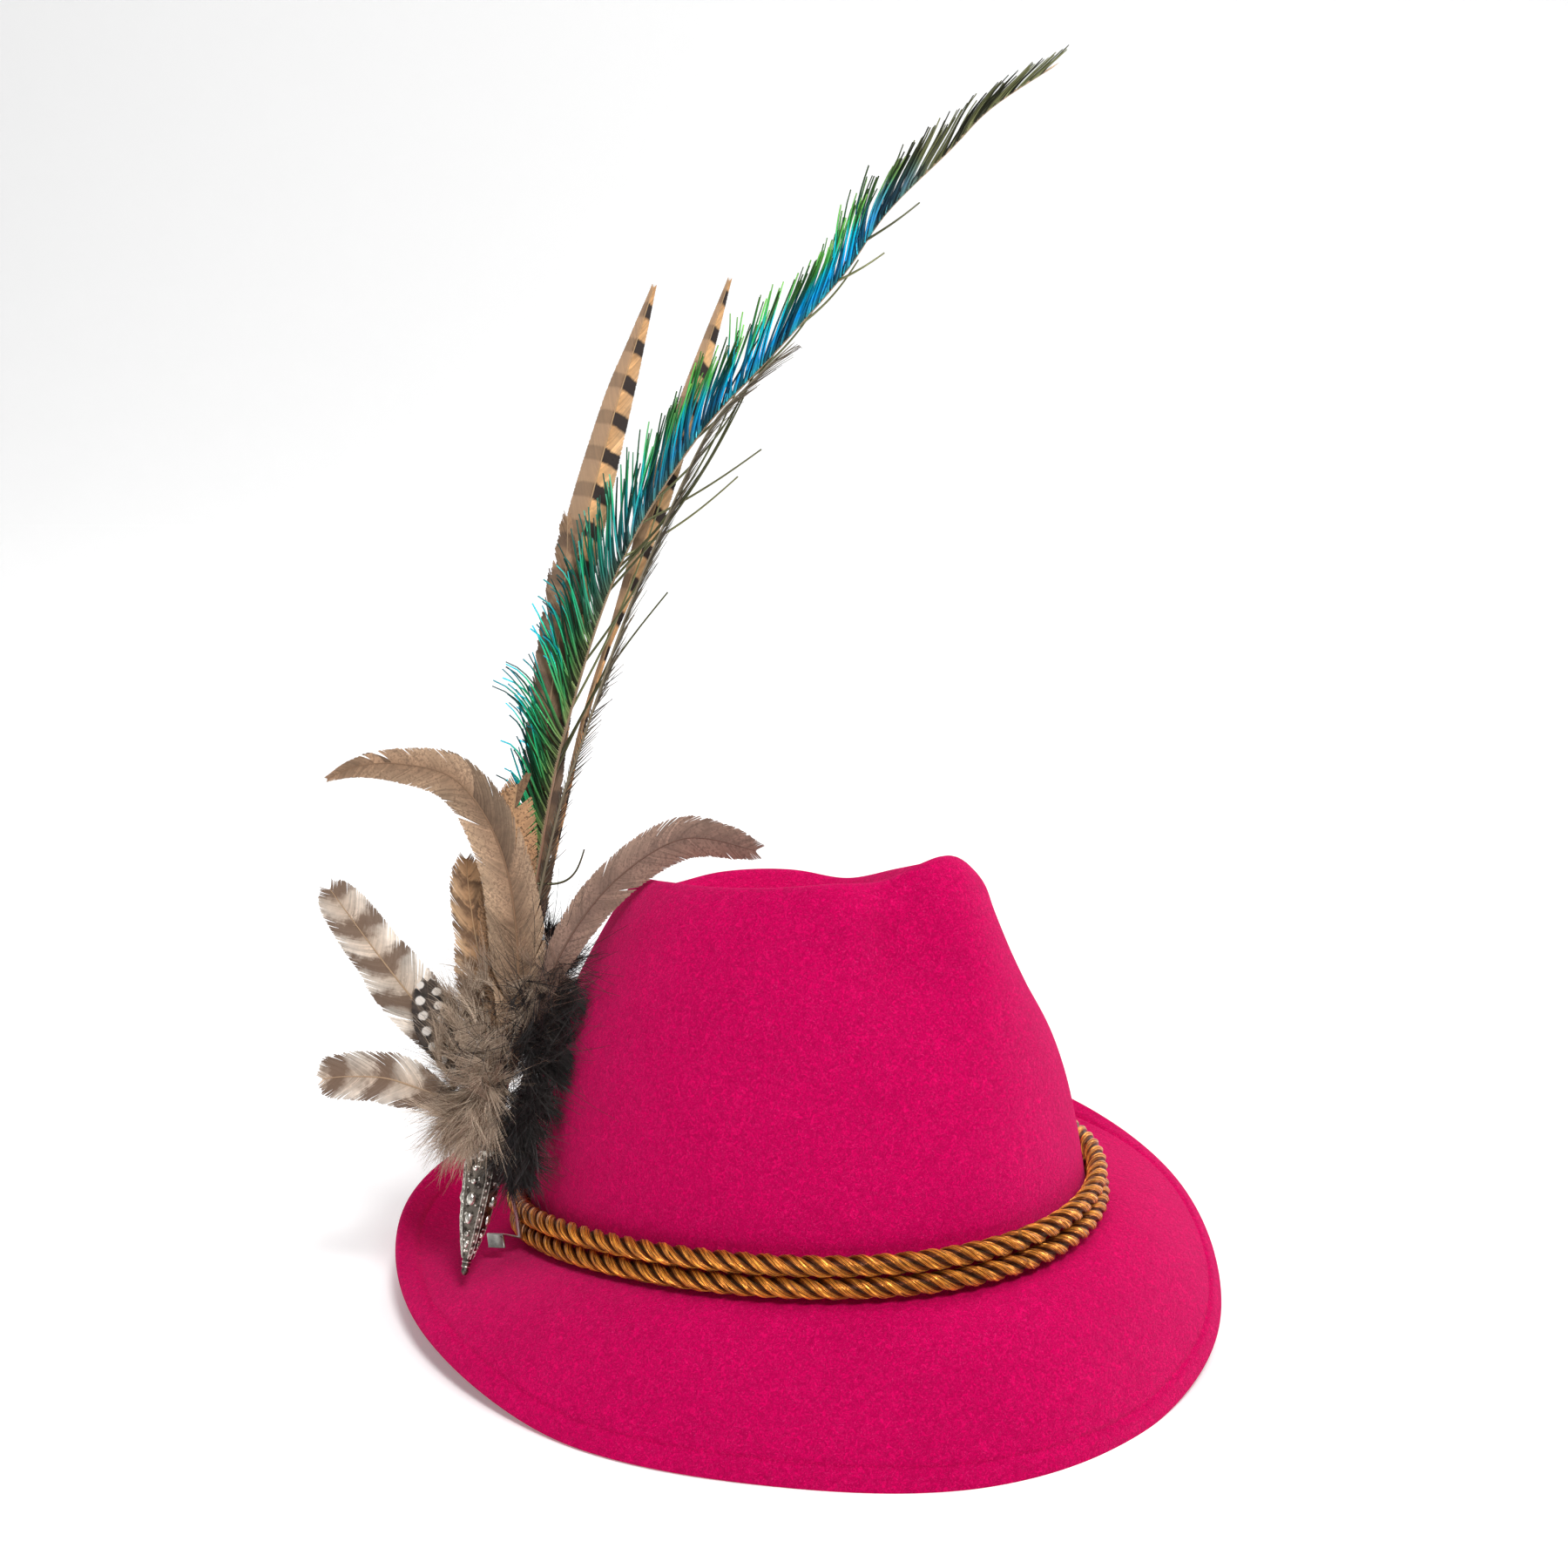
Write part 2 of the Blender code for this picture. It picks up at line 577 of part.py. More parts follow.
def smooth_path(points, count):
    """Evenly numbered points of a smooth line through the given points."""
    path = []
    last = len(points) - 1
    for number in range(count):
        place = min(number * last / (count - 1), last - 0.000001)
        row = int(place)
        before = points[max(row - 1, 0)]
        after = points[min(row + 2, last)]
        path.append(catmull(before, points[row], points[row + 1], after, place - row))
    return path


def layer_depth(layer):
    """How far a feather's layer stands toward the viewer in the holder's mouth."""
    return (layer - 0.5 * (len(FEATHERS) - 1)) * LAYER_STEP


def feather_rows(feather):
    """Quill points in the plume's plane, each with the vane's reach to the left and right."""
    right, up, near = plume_axes()
    axis = holder_axis()
    depth = layer_depth(feather.layer)
    root = mouth_centre() + right * (feather.column * COLUMN_STEP) + near * depth
    fan = mouth_centre() + right * FAN_SIDE + up * FAN_RISE
    rows = []
    for along in (-ROOT_DEPTH, 0.0, EXIT_LENGTH):
        rows.append(Vector((*(root + axis * along), QUILL_RADIUS, QUILL_RADIUS)))
    slope = math.radians(feather.lean)
    chord = (right * math.sin(slope) + up * math.cos(slope)) * feather.length
    beside = (right * math.cos(slope) - up * math.sin(slope)) * feather.length
    for vane in SHAPES[feather.shape]:
        spread = depth * (1.0 + min(vane.along * feather.length, SPREAD_REACH) / LAYER_SPREAD)
        point = fan + chord * vane.along + beside * vane.side + near * spread
        left = max(vane.left * feather.width, QUILL_RADIUS)
        reach = max(vane.right * feather.width, QUILL_RADIUS)
        rows.append(Vector((*point, left, reach)))
    return rows


def make_feather(feather, collection, parent):
    """Quill with a thin vane, one closed body."""
    near = plume_axes()[2]
    path = smooth_path(feather_rows(feather), FEATHER_STATIONS)
    half = VANE_THICKNESS * 0.5
    sections = []
    for number, value in enumerate(path):
        point = Vector(value[:3])
        before = Vector(path[max(number - 1, 0)][:3])
        after = Vector(path[min(number + 1, len(path) - 1)][:3])
        tangent = (after - before).normalized()
        across = tangent.cross(near).normalized()
        lift = across.cross(tangent).normalized()
        left = across * value[3]
        reach = across * value[4]
        sections.append([
            point - left,
            point - left * VANE_SHOULDER + lift * half,
            point + reach * VANE_SHOULDER + lift * half,
            point + reach,
            point + reach * VANE_SHOULDER - lift * half,
            point - left * VANE_SHOULDER - lift * half,
        ])
    return loft(feather.name, sections, feather.finish, collection, parent)


def make_fur(name, locks, side, collection, parent):
    """Tuft of fur locks grown from one stem in the holder's mouth, side -1 is toward the crown."""
    right, up, near = plume_axes()
    axis = holder_axis()
    root = mouth_centre() + near * (side * STEM_PLACE) - right * STEM_SIDE
    heart = root + axis * LOCK_RISE + near * (side * LOCK_STAND)
    mesh = bmesh.new()

    def cone(start, end, low, high):
        turn = (end - start).to_track_quat("Z", "Y").to_matrix().to_4x4()
        place = Matrix.Translation(start.lerp(end, 0.5)) @ turn
        bmesh.ops.create_cone(mesh, cap_ends=True, segments=LOCK_SIDES, radius1=low, radius2=high,
                              depth=(end - start).length, matrix=place)

    cone(root - axis * STEM_LENGTH, root + axis * EXIT_LENGTH, STEM_RADIUS, STEM_RADIUS)
    cone(root + axis * (EXIT_LENGTH - STEM_RADIUS), heart, STEM_RADIUS, LOCK_RADIUS)
    for lock in locks:
        slope = math.radians(lock.lean)
        direction = right * math.sin(slope) + up * math.cos(slope) + near * (side * LOCK_OUTWARD)
        cone(heart, heart + direction * lock.length, LOCK_RADIUS, LOCK_RADIUS * LOCK_TIP)
    data = bpy.data.meshes.new(name)
    mesh.to_mesh(data)
    mesh.free()
    tuft = add_object(name, data, name, collection, parent)
    fuse = tuft.modifiers.new("fuse", "REMESH")
    fuse.mode = "VOXEL"
    fuse.voxel_size = FUR_VOXEL
    thin = tuft.modifiers.new("thin_out", "DECIMATE")
    thin.ratio = FUR_FACE_SHARE
    return tuft


def make_lying_box(collection):
    """Cutter under the surface that the hat lies on."""
    bpy.ops.mesh.primitive_cube_add(size=1.0, location=(0.0, 0.0, -0.25))
    box = bpy.context.active_object
    for owner in list(box.users_collection):
        owner.objects.unlink(box)
    collection.objects.link(box)
    box.name = "lying_surface_cutter"
    box.scale = (1.0, 1.0, 0.5)
    box.hide_render = True
    box.display_type = "WIRE"
    return box


def place_hat(root):
    """Tip the hat back onto its front lip and its back bottom, and centre it over the origin."""
    front, slope = lying_line()
    tip = math.atan(slope)
    root.rotation_euler = (-tip, 0.0, 0.0)
    lip = Matrix.Rotation(-tip, 3, "X") @ front
    root.location = (SIDE_SHIFT, BACK_SHIFT, -lip.z - CONTACT_SINK)


def main():
    """Build the whole hat."""
    clear_scene()
    parts = new_collection("tyrolean_hat")
    cutters = new_collection("cutters")
    root = bpy.data.objects.new("hat_root", None)
    parts.objects.link(root)
    place_hat(root)
    lying_box = make_lying_box(cutters)
    make_felt_body(parts, root, lying_box)
    make_cord("lower_cord", 0, parts, root)
    make_cord("upper_cord", 1, parts, root)
    make_holder(parts, root)
    make_clip(parts, root)
    for feather in FEATHERS:
        make_feather(feather, parts, root)
    make_fur("black_fur", BLACK_LOCKS, -1.0, parts, root)
    make_fur("grey_fluff", GREY_LOCKS, 1.0, parts, root)
    bpy.context.view_layer.update()


if __name__ == "__main__":
    main()
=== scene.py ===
"""Tyrolean hat: the dressed model of a felt hat with two twisted cords and a feather plume.

Every piece is laid out in the hat's own frame: the plane z = 0 is where the crown meets the brim, the
front of the hat points along -Y and the wearer's left along +X.  to_world tips that frame back so that
the hat lies on its front lip and on the bottom of its turned-up back.  Plume measures count from the
middle of the holder's mouth, in the plane that the plume is spread in.
"""

import math
from collections import namedtuple

import bpy
import numpy as np
from mathutils import Matrix, Vector


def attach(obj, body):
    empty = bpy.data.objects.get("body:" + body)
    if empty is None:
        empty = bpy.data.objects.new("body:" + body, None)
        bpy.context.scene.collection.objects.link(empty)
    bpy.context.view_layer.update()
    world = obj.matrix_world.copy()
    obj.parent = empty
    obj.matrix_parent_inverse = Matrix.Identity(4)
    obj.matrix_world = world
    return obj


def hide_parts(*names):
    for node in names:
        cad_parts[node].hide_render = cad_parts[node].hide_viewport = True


bl_info = {
    "name": "Tyrolean Hat",
    "version": (1, 0, 0),
    "blender": (4, 5, 0),
    "location": "View3D > Sidebar > Tyrolean Hat",
    "description": "Builds a felt tyrolean hat with cords, holder and plume round its packed model",
    "category": "Add Mesh",
}

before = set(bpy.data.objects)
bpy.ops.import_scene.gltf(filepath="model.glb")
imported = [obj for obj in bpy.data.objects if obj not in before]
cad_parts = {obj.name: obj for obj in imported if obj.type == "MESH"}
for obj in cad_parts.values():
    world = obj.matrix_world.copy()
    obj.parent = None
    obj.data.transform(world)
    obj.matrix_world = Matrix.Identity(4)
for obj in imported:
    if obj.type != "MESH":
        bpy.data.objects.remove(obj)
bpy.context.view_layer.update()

# Felt body
HEAD_HALF_WIDTH = 0.084
HEAD_HALF_LENGTH = 0.1035
BASE_SADDLE = 0.0038
FELT = 0.0022
CROWN_HEIGHT = 0.123
TOP_HALF_WIDTH = 0.056
TOP_HALF_LENGTH = 0.067
TOP_FORWARD = 0.020
CREST_LEAN = 0.008
SHOULDER_DROP = 0.0075
SHOULDER_INSET = 0.0075
CREASE_DEPTH = 0.026
CREASE_HALF_LENGTH = 0.026
CREASE_HALF_WIDTH = 0.009
CREASE_FALL = 0.04
NOSE_TURN = math.radians(17.0)
PINCH_SPREAD = math.radians(31.0)
PINCH_REACH = math.radians(15.0)
PINCH_DEPTH = 0.009
PINCH_DIP = 0.0035
PINCH_HEIGHT = 0.096
PINCH_SPAN = 0.025
BRIM_WIDTH = 0.062
DROOP_TURN = math.radians(-17.0)
CONTACT_SINK = 0.0004
SIDE_SHIFT = 0.0037
BACK_SHIFT = -0.0034
FELT_COLUMNS = 116

# Cords
CORD_RADIUS = 0.0033
CLEARANCE = 0.0003
STRAND_STATIONS = 640
STRAND_SIDES = 24
STRAND_RADIUS = CORD_RADIUS * 0.455

# Holder and clip
ORNAMENT_ANGLE = math.radians(-111.0)
HOLDER_LENGTH = 0.0535
HOLDER_RADIUS = 0.0082
HOLDER_LEAN = (0.175, 0.980, -0.097)
HOLDER_GAP = 0.0100
TIP_RISE = 0.0015
CLIP_THICKNESS = 0.0008
CLIP_WIDTH = 0.003
CLIP_TOP = 0.66
CLIP_TOP_RADIUS = 0.80
TAB_WIDTH = 0.0062
TAB_LENGTH = 0.0046
TAB_STAND = 0.008
TAB_RISE = 0.003
TAB_TURN = math.radians(42.0)

# Plume
PLUME_TURN = math.radians(36.6)
PLUME_LEAN = math.radians(8.0)
PLUME_ROLL = math.radians(-6.7)
FAN_SIDE = 0.0086
FAN_RISE = -0.0018
QUILL_RADIUS = 0.0006
ROOT_DEPTH = 0.006
EXIT_LENGTH = 0.007
LAYERS = 12
LAYER_STEP = 0.00075
COLUMN_STEP = 0.0019
LAYER_SPREAD = 0.022
SPREAD_REACH = 0.08

# Camera, in the hat's frame
CAMERA_PLACE = (-0.5649, -0.7777, 0.2758)
CAMERA_RIGHT = (0.7882, -0.6046, -0.1151)
CAMERA_UP = (0.1756, 0.0417, 0.9836)
CAMERA_BACK = (-0.5898, -0.7955, 0.1390)
CAMERA_LENS = 68.82
SENSOR_WIDTH = 36.0

Brim = namedtuple("Brim", "angle run rise bend_run bend_rise")
BRIM = (
    Brim(0, 0.437, -0.861, 0.36, -0.10),
    Brim(30, 0.450, -0.861, 0.36, -0.10),
    Brim(60, 0.627, -0.663, 0.40, -0.05),
    Brim(90, 0.747, -0.265, 0.45, -0.04),
    Brim(120, 0.716, 0.115, 0.52, -0.10),
    Brim(150, 0.663, 0.305, 0.52, -0.12),
    Brim(180, 0.579, 0.452, 0.48, -0.12),
)
BRIM_ROWS = (0.05, 0.16, 0.31, 0.47, 0.62, 0.76, 0.87, 0.94, 1.0)

Crest = namedtuple("Crest", "angle height")
CREST = (Crest(0, 1.0), Crest(30, 0.965), Crest(60, 0.925), Crest(90, 0.91), Crest(120, 0.91),
         Crest(150, 0.90), Crest(180, 0.87))

Swell = namedtuple("Swell", "angle lift reach")
SWELLS = (Swell(75, 0.004, 25), Swell(122, -0.003, 14))

Wall = namedtuple("Wall", "rise inset")
WALL = (Wall(0.0, 0.0), Wall(0.025, 0.004), Wall(0.12, 0.02), Wall(0.27, 0.07), Wall(0.42, 0.17),
        Wall(0.56, 0.32), Wall(0.70, 0.50), Wall(0.82, 0.68), Wall(0.92, 0.85), Wall(1.0, 1.0))

Top = namedtuple("Top", "inward depth")
TOP = (Top(0.0, 0.0), Top(0.16, 0.10), Top(0.38, 0.42), Top(0.62, 0.78), Top(0.84, 0.95), Top(1.0, 1.0))


def catmull(before, start, end, after, share):
    """Smooth value between start and end."""
    slope_start = (end - before) * 0.5
    slope_end = (after - start) * 0.5
    square = share * share
    cube = square * share
    return (start * (2.0 * cube - 3.0 * square + 1.0) + slope_start * (cube - 2.0 * square + share)
            + end * (3.0 * square - 2.0 * cube) + slope_end * (cube - square))


def around(table, column, angle):
    """Value of a table by angle from the front, the same on both sides of the hat."""
    values = [getattr(row, column) for row in table]
    last = len(values) - 1
    place = min(abs(math.degrees(angle)) / table[1].angle, last - 0.000001)
    row = int(place)
    after = row + 2 if row + 2 <= last else 2 * last - row - 2
    return catmull(values[abs(row - 1)], values[row], values[row + 1], values[after], place - row)


def wrap(angle):
    """Angle between minus and plus half a turn."""
    return (angle + math.pi) % (2.0 * math.pi) - math.pi


def oval(angle, half_width, half_length, forward=0.0):
    """Point of an oval in plan, counted from the front toward the wearer's left."""
    return np.array((half_width * math.sin(angle), -half_length * math.cos(angle) - forward, 0.0))


def unit(vectors):
    """Vectors scaled to length one."""
    vectors = np.asarray(vectors, dtype=float)
    return vectors / np.maximum(np.linalg.norm(vectors, axis=-1, keepdims=True), 1e-12)


def outward(angle):
    """Outward direction of the head oval in plan."""
    return unit((math.sin(angle) / HEAD_HALF_WIDTH, -math.cos(angle) / HEAD_HALF_LENGTH, 0.0))


def base_point(angle):
    """Where the crown meets the brim, low at the front and back and high at the sides."""
    point = oval(angle, HEAD_HALF_WIDTH, HEAD_HALF_LENGTH)
    point[2] = -BASE_SADDLE * math.cos(2.0 * angle)
    return point


def brim_curve(angle, share, lift=0.0):
    """Upper surface of the brim from the crown (0) to the edge (1), with the edge lifted."""
    turned = wrap(angle - DROOP_TURN)
    run = BRIM_WIDTH * around(BRIM, "run", turned)
    rise = BRIM_WIDTH * around(BRIM, "rise", turned) + lift
    bend_run = BRIM_WIDTH * around(BRIM, "bend_run", turned)
    bend_rise = BRIM_WIDTH * around(BRIM, "bend_rise", turned)
    middle = 2.0 * share * (1.0 - share)
    across = middle * bend_run + share * share * run
    up = middle * bend_rise + share * share * rise
    return base_point(angle) + outward(angle) * across + np.array((0.0, 0.0, up))


def lying_line():
    """Front lip that the hat lies on, and the slope from there back to the bottom of the back brim."""
    front = brim_curve(0.0, 1.0)
    slopes = []
    for share in BRIM_ROWS:
        back = brim_curve(math.pi, share)
        slopes.append((back[2] - FELT - front[2]) / (back[1] - front[1]))
    return front, min(slopes)


FRONT_LIP, LYING_SLOPE = lying_line()
TIP_BACK = math.atan(LYING_SLOPE)
TURN = np.array(((1.0, 0.0, 0.0),
                 (0.0, math.cos(TIP_BACK), math.sin(TIP_BACK)),
                 (0.0, -math.sin(TIP_BACK), math.cos(TIP_BACK))))
SHIFT = np.array((SIDE_SHIFT, BACK_SHIFT, -(TURN @ FRONT_LIP)[2] - CONTACT_SINK))


def to_world(points):
    """Points of the hat's frame in the world."""
    return np.asarray(points) @ TURN.T + SHIFT


def brim_point(angle, share):
    """Upper surface of the brim, with its edge kept above the surface that the hat lies on."""
    edge = brim_curve(angle, 1.0)
    lift = FRONT_LIP[2] + (edge[1] - FRONT_LIP[1]) * LYING_SLOPE - edge[2]
    return brim_curve(angle, share, max(0.0, lift))


def crest_height(angle):
    """Height of the crown's rim above the base, with a dip at each pinch."""
    turned = wrap(angle - NOSE_TURN)
    height = CROWN_HEIGHT * around(CREST, "height", turned) - CREST_LEAN * math.sin(angle)
    for swell in SWELLS:
        away = wrap(angle - math.radians(swell.angle)) / math.radians(swell.reach)
        height += swell.lift * math.exp(-away * away)
    return height - PINCH_DIP * math.exp(-((abs(turned) - PINCH_SPREAD) / PINCH_REACH) ** 2)


def pinch(point, angle):
    """Push a point of the crown inward where the front pinches lie."""
    turned = abs(wrap(angle - NOSE_TURN))
    near = math.exp(-((turned - PINCH_SPREAD) / PINCH_REACH) ** 2)
    level = math.exp(-((point[2] - PINCH_HEIGHT) / PINCH_SPAN) ** 2)
    return point - outward(angle) * (PINCH_DEPTH * near * level)


def wall_point(angle, rise, inset):
    """Crown wall between the base oval and the shoulder oval."""
    low = base_point(angle)
    high = oval(angle, TOP_HALF_WIDTH, TOP_HALF_LENGTH, TOP_FORWARD)
    point = low + (high - low) * inset
    point[2] = low[2] + (crest_height(angle) - SHOULDER_DROP - low[2]) * rise
    return pinch(point, angle)


def top_point(angle, inward, depth):
    """Top of the crown between its crest and the crease."""
    crest = oval(angle, TOP_HALF_WIDTH - SHOULDER_INSET, TOP_HALF_LENGTH - SHOULDER_INSET, TOP_FORWARD)
    floor = oval(angle, CREASE_HALF_WIDTH, CREASE_HALF_LENGTH, TOP_FORWARD)
    point = crest + (floor - crest) * inward
    point[2] = crest_height(angle)
    point = pinch(point, angle)
    floor_height = CROWN_HEIGHT * (1.0 - CREASE_FALL * (1.0 - math.cos(angle))) - CREASE_DEPTH
    point[2] += (floor_height - point[2]) * depth
    return point


def felt_line(angle):
    """Outer surface of the felt along one line from the crease out to the brim's edge."""
    line = [top_point(angle, row.inward, row.depth) for row in reversed(TOP)]
    line += [wall_point(angle, row.rise, row.inset) for row in reversed(WALL)]
    line += [brim_point(angle, share) for share in BRIM_ROWS]
    return line


def smooth_rows(rows, count):
    """Evenly numbered rows of a smooth line through the given rows."""
    rows = np.asarray(rows, dtype=float)
    last = len(rows) - 1
    place = np.minimum(np.linspace(0.0, last, count), last - 0.000001)
    row = place.astype(int)
    share = (place - row).reshape((-1,) + (1,) * (rows.ndim - 1))
    before = rows[np.maximum(row - 1, 0)]
    after = rows[np.minimum(row + 2, last)]
    return catmull(before, rows[row], rows[row + 1], after, share)


def even_rows(rows, count, dense=1200):
    """Rows of a smooth line through the given rows, evenly spaced along it by their first three values."""
    fine = smooth_rows(rows, dense)
    steps = np.linalg.norm(np.diff(fine[:, :3], axis=0), axis=1)
    along = np.concatenate(((0.0,), np.cumsum(steps)))
    wanted = np.linspace(0.0, along[-1], count)
    even = np.stack([np.interp(wanted, along, fine[:, k]) for k in range(fine.shape[1])], axis=1)
    return even, wanted


def wall_at(angle, height):
    """Point of the crown wall at a height in the hat's frame."""
    low = base_point(angle)[2]
    share = (height - low) / (crest_height(angle) - SHOULDER_DROP - low)
    for low_row, high_row in zip(WALL, WALL[1:]):
        if share <= high_row.rise:
            blend = (share - low_row.rise) / (high_row.rise - low_row.rise)
            return wall_point(angle, share, low_row.inset + (high_row.inset - low_row.inset) * blend)
    return wall_point(angle, 1.0, 1.0)


def spin(axis, angle):
    """Turning matrix about one of the axes 0, 1 and 2."""
    first, second = ((1, 2), (2, 0), (0, 1))[axis]
    matrix = np.eye(3)
    matrix[first, first] = matrix[second, second] = math.cos(angle)
    matrix[first, second] = -math.sin(angle)
    matrix[second, first] = math.sin(angle)
    return matrix


PLUME = spin(2, -PLUME_TURN) @ spin(0, -PLUME_LEAN) @ spin(1, -PLUME_ROLL)
RIGHT = PLUME @ np.array((1.0, 0.0, 0.0))
UP = PLUME @ np.array((0.0, 0.0, 1.0))
NEAR = PLUME @ np.array((0.0, -1.0, 0.0))
HOLDER_AXIS = unit(RIGHT * HOLDER_LEAN[0] + UP * HOLDER_LEAN[1] + NEAR * HOLDER_LEAN[2])
ORNAMENT_OUT = outward(ORNAMENT_ANGLE)
MOUTH = (wall_at(ORNAMENT_ANGLE, TIP_RISE + HOLDER_LENGTH * HOLDER_AXIS[2])
         + ORNAMENT_OUT * (HOLDER_RADIUS + HOLDER_GAP))


def plume_points(rows):
    """Points from millimetres right of, above and in front of the holder's mouth."""
    rows = np.asarray(rows, dtype=float) * 0.001
    return MOUTH + rows[:, 0:1] * RIGHT + rows[:, 1:2] * UP + rows[:, 2:3] * NEAR


# Meshes

class Shell:
    """Points, faces and surface coordinates of one piece, gathered part by part."""

    def __init__(self):
        self.points = []
        self.faces = []
        self.places = []
        self.tones = []
        self.count = 0

    def add(self, points, faces, places, tone=0.5):
        """Add points in the hat's frame with their quads and surface coordinates."""
        points = np.asarray(points, dtype=float).reshape(-1, 3)
        self.points.append(points)
        self.faces.append(np.asarray(faces, dtype=int) + self.count)
        self.places.append(np.asarray(places, dtype=float).reshape(-1, 2))
        tones = np.broadcast_to(np.asarray(tone, dtype=float), (len(points),))
        self.tones.append(tones)
        self.count += len(points)

    def piece(self, name, material, slot, replaces=()):
        """Make the object, let it ride on the hat and hide the parts that it stands for."""
        points = to_world(np.concatenate(self.points))
        faces = [list(dict.fromkeys(face)) for block in self.faces for face in block.tolist()]
        mesh = bpy.data.meshes.new(name)
        mesh.from_pydata(points.tolist(), [], faces)
        corners = np.empty(len(mesh.loops), dtype=np.int32)
        mesh.loops.foreach_get("vertex_index", corners)
        places = np.concatenate(self.places)
        tones = np.concatenate(self.tones)
        first = mesh.uv_layers.new(name="place")
        first.data.foreach_set("uv", places[corners].astype(np.float32).ravel())
        second = mesh.uv_layers.new(name="tone")
        pairs = np.stack((tones, tones), axis=1)[corners]
        second.data.foreach_set("uv", pairs.astype(np.float32).ravel())
        mesh.shade_smooth()
        mesh.materials.append(material)
        piece = bpy.data.objects.new(name, mesh)
        bpy.context.scene.collection.objects.link(piece)
        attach(piece, "root")
        if replaces:
            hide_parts(*replaces)
        return piece


def grid_faces(rows, columns, ring_rows=False, ring_columns=False):
    """Quads between the points of a grid, closed along its rows or its columns."""
    row = np.arange(rows if ring_rows else rows - 1)
    column = np.arange(columns if ring_columns else columns - 1)
    row, column = np.meshgrid(row, column, indexing="ij")
    after_row = (row + 1) % rows
    after_column = (column + 1) % columns
    quads = np.stack((row * columns + column, row * columns + after_column,
                      after_row * columns + after_column, after_row * columns + column), axis=-1)
    return quads.reshape(-1, 4)


def many_faces(count, rows, columns, ring_columns=False):
    """Quads of many equal grids that follow each other."""
    one = grid_faces(rows, columns, ring_columns=ring_columns)
    offset = np.arange(count)[:, None, None] * (rows * columns)
    return (one[None] + offset).reshape(-1, 4)


def add_tubes(shell, paths, radii, sides, tone=0.5, place=None):
    """Add round strands along paths (strand, station, 3) with their radii."""
    paths = np.asarray(paths, dtype=float)
    if paths.ndim == 2:
        paths = paths[None]
    count, stations = paths.shape[:2]
    radii = np.broadcast_to(np.asarray(radii, dtype=float), (count, stations))
    tangent = unit(np.gradient(paths, axis=1))
    side = unit(np.cross(tangent, NEAR + 0.23 * RIGHT))
    other = np.cross(tangent, side)
    turn = np.linspace(0.0, 2.0 * np.pi, sides, endpoint=False)
    ring = (np.cos(turn)[:, None] * side[:, :, None, :] + np.sin(turn)[:, None] * other[:, :, None, :])
    points = paths[:, :, None, :] + radii[:, :, None, None] * ring
    if place is None:
        along = np.broadcast_to(np.linspace(0.0, 1.0, stations)[None, :, None], (count, stations, sides))
        across = np.broadcast_to(np.linspace(0.0, 1.0, sides)[None, None, :], (count, stations, sides))
        place = np.stack((across, along), axis=-1)
    else:
        place = np.broadcast_to(np.asarray(place, dtype=float)[..., None, :], (count, stations, sides, 2))
    tone = np.broadcast_to(np.asarray(tone, dtype=float).reshape(-1, 1, 1), (count, stations, sides))
    shell.add(points, many_faces(count, stations, sides, ring_columns=True), place, tone.reshape(-1))


def add_ribbons(shell, paths, widths, turns, tone=0.5):
    """Add flat hairs along paths (strand, station, 3), each turned by its own angle about its path."""
    count, stations = paths.shape[:2]
    tangent = unit(np.gradient(paths, axis=1))
    side = unit(np.cross(tangent, NEAR + 0.23 * RIGHT))
    other = np.cross(tangent, side)
    turns = np.asarray(turns)[:, None, None]
    beside = (np.cos(turns) * side + np.sin(turns) * other) * np.asarray(widths)[..., None] * 0.5
    points = np.stack((paths - beside, paths + beside), axis=2)
    along = np.broadcast_to(np.linspace(0.0, 1.0, stations)[None, :, None], (count, stations, 2))
    place = np.stack((np.full_like(along, 0.8), along), axis=-1)
    tone = np.broadcast_to(np.asarray(tone, dtype=float).reshape(-1, 1, 1), (count, stations, 2))
    shell.add(points, many_faces(count, stations, 2), place, tone.reshape(-1))


# Materials

def wire(tree, kind, inputs=None, **settings):
    """Add a node, set its options and feed its inputs with values or other nodes' outputs."""
    made = tree.nodes.new(kind)
    for option, value in settings.items():
        setattr(made, option, value)
    for place, value in (inputs or {}).items():
        if isinstance(value, bpy.types.NodeSocket):
            tree.links.new(value, made.inputs[place])
        else:
            made.inputs[place].default_value = value
    return made


def new_material(name, **values):
    """Principled material with its plain values set on the shader's own sockets."""
    material = bpy.data.materials.new(name)
    material.use_nodes = True
    shader = material.node_tree.nodes["Principled BSDF"]
    for socket, value in values.items():
        shader.inputs[socket.replace("_", " ")].default_value = value
    return material, material.node_tree, shader


def ramp(tree, factor, stops):
    """Colour or grey by a factor, from stops of a place and a colour."""
    made = wire(tree, "ShaderNodeValToRGB", {"Fac": factor})
    scale = made.color_ramp
    while len(scale.elements) < len(stops):
        scale.elements.new(0.5)
    for element, (place, colour) in zip(scale.elements, stops):
        element.position = place
        element.color = (*colour, 1.0) if len(colour) == 3 else colour
    return made.outputs["Color"]


def blend(tree, factor, first, second, mode="MIX"):
    """Mix two colours."""
    made = wire(tree, "ShaderNodeMix", data_type="RGBA", blend_type=mode)
    for place, value in ((0, factor), (6, first), (7, second)):
        if isinstance(value, bpy.types.NodeSocket):
            tree.links.new(value, made.inputs[place])
        elif place == 0:
            made.inputs[place].default_value = value
        else:
            made.inputs[place].default_value = (*value, 1.0)
    return made.outputs[2]


def tinted(tree, colour, tint):
    """Multiply a colour by another."""
    return blend(tree, 1.0, colour, tint, "MULTIPLY")


def maths(tree, operation, first, second=0.0):
    """One sum on two values."""
    return wire(tree, "ShaderNodeMath", {0: first, 1: second}, operation=operation).outputs[0]


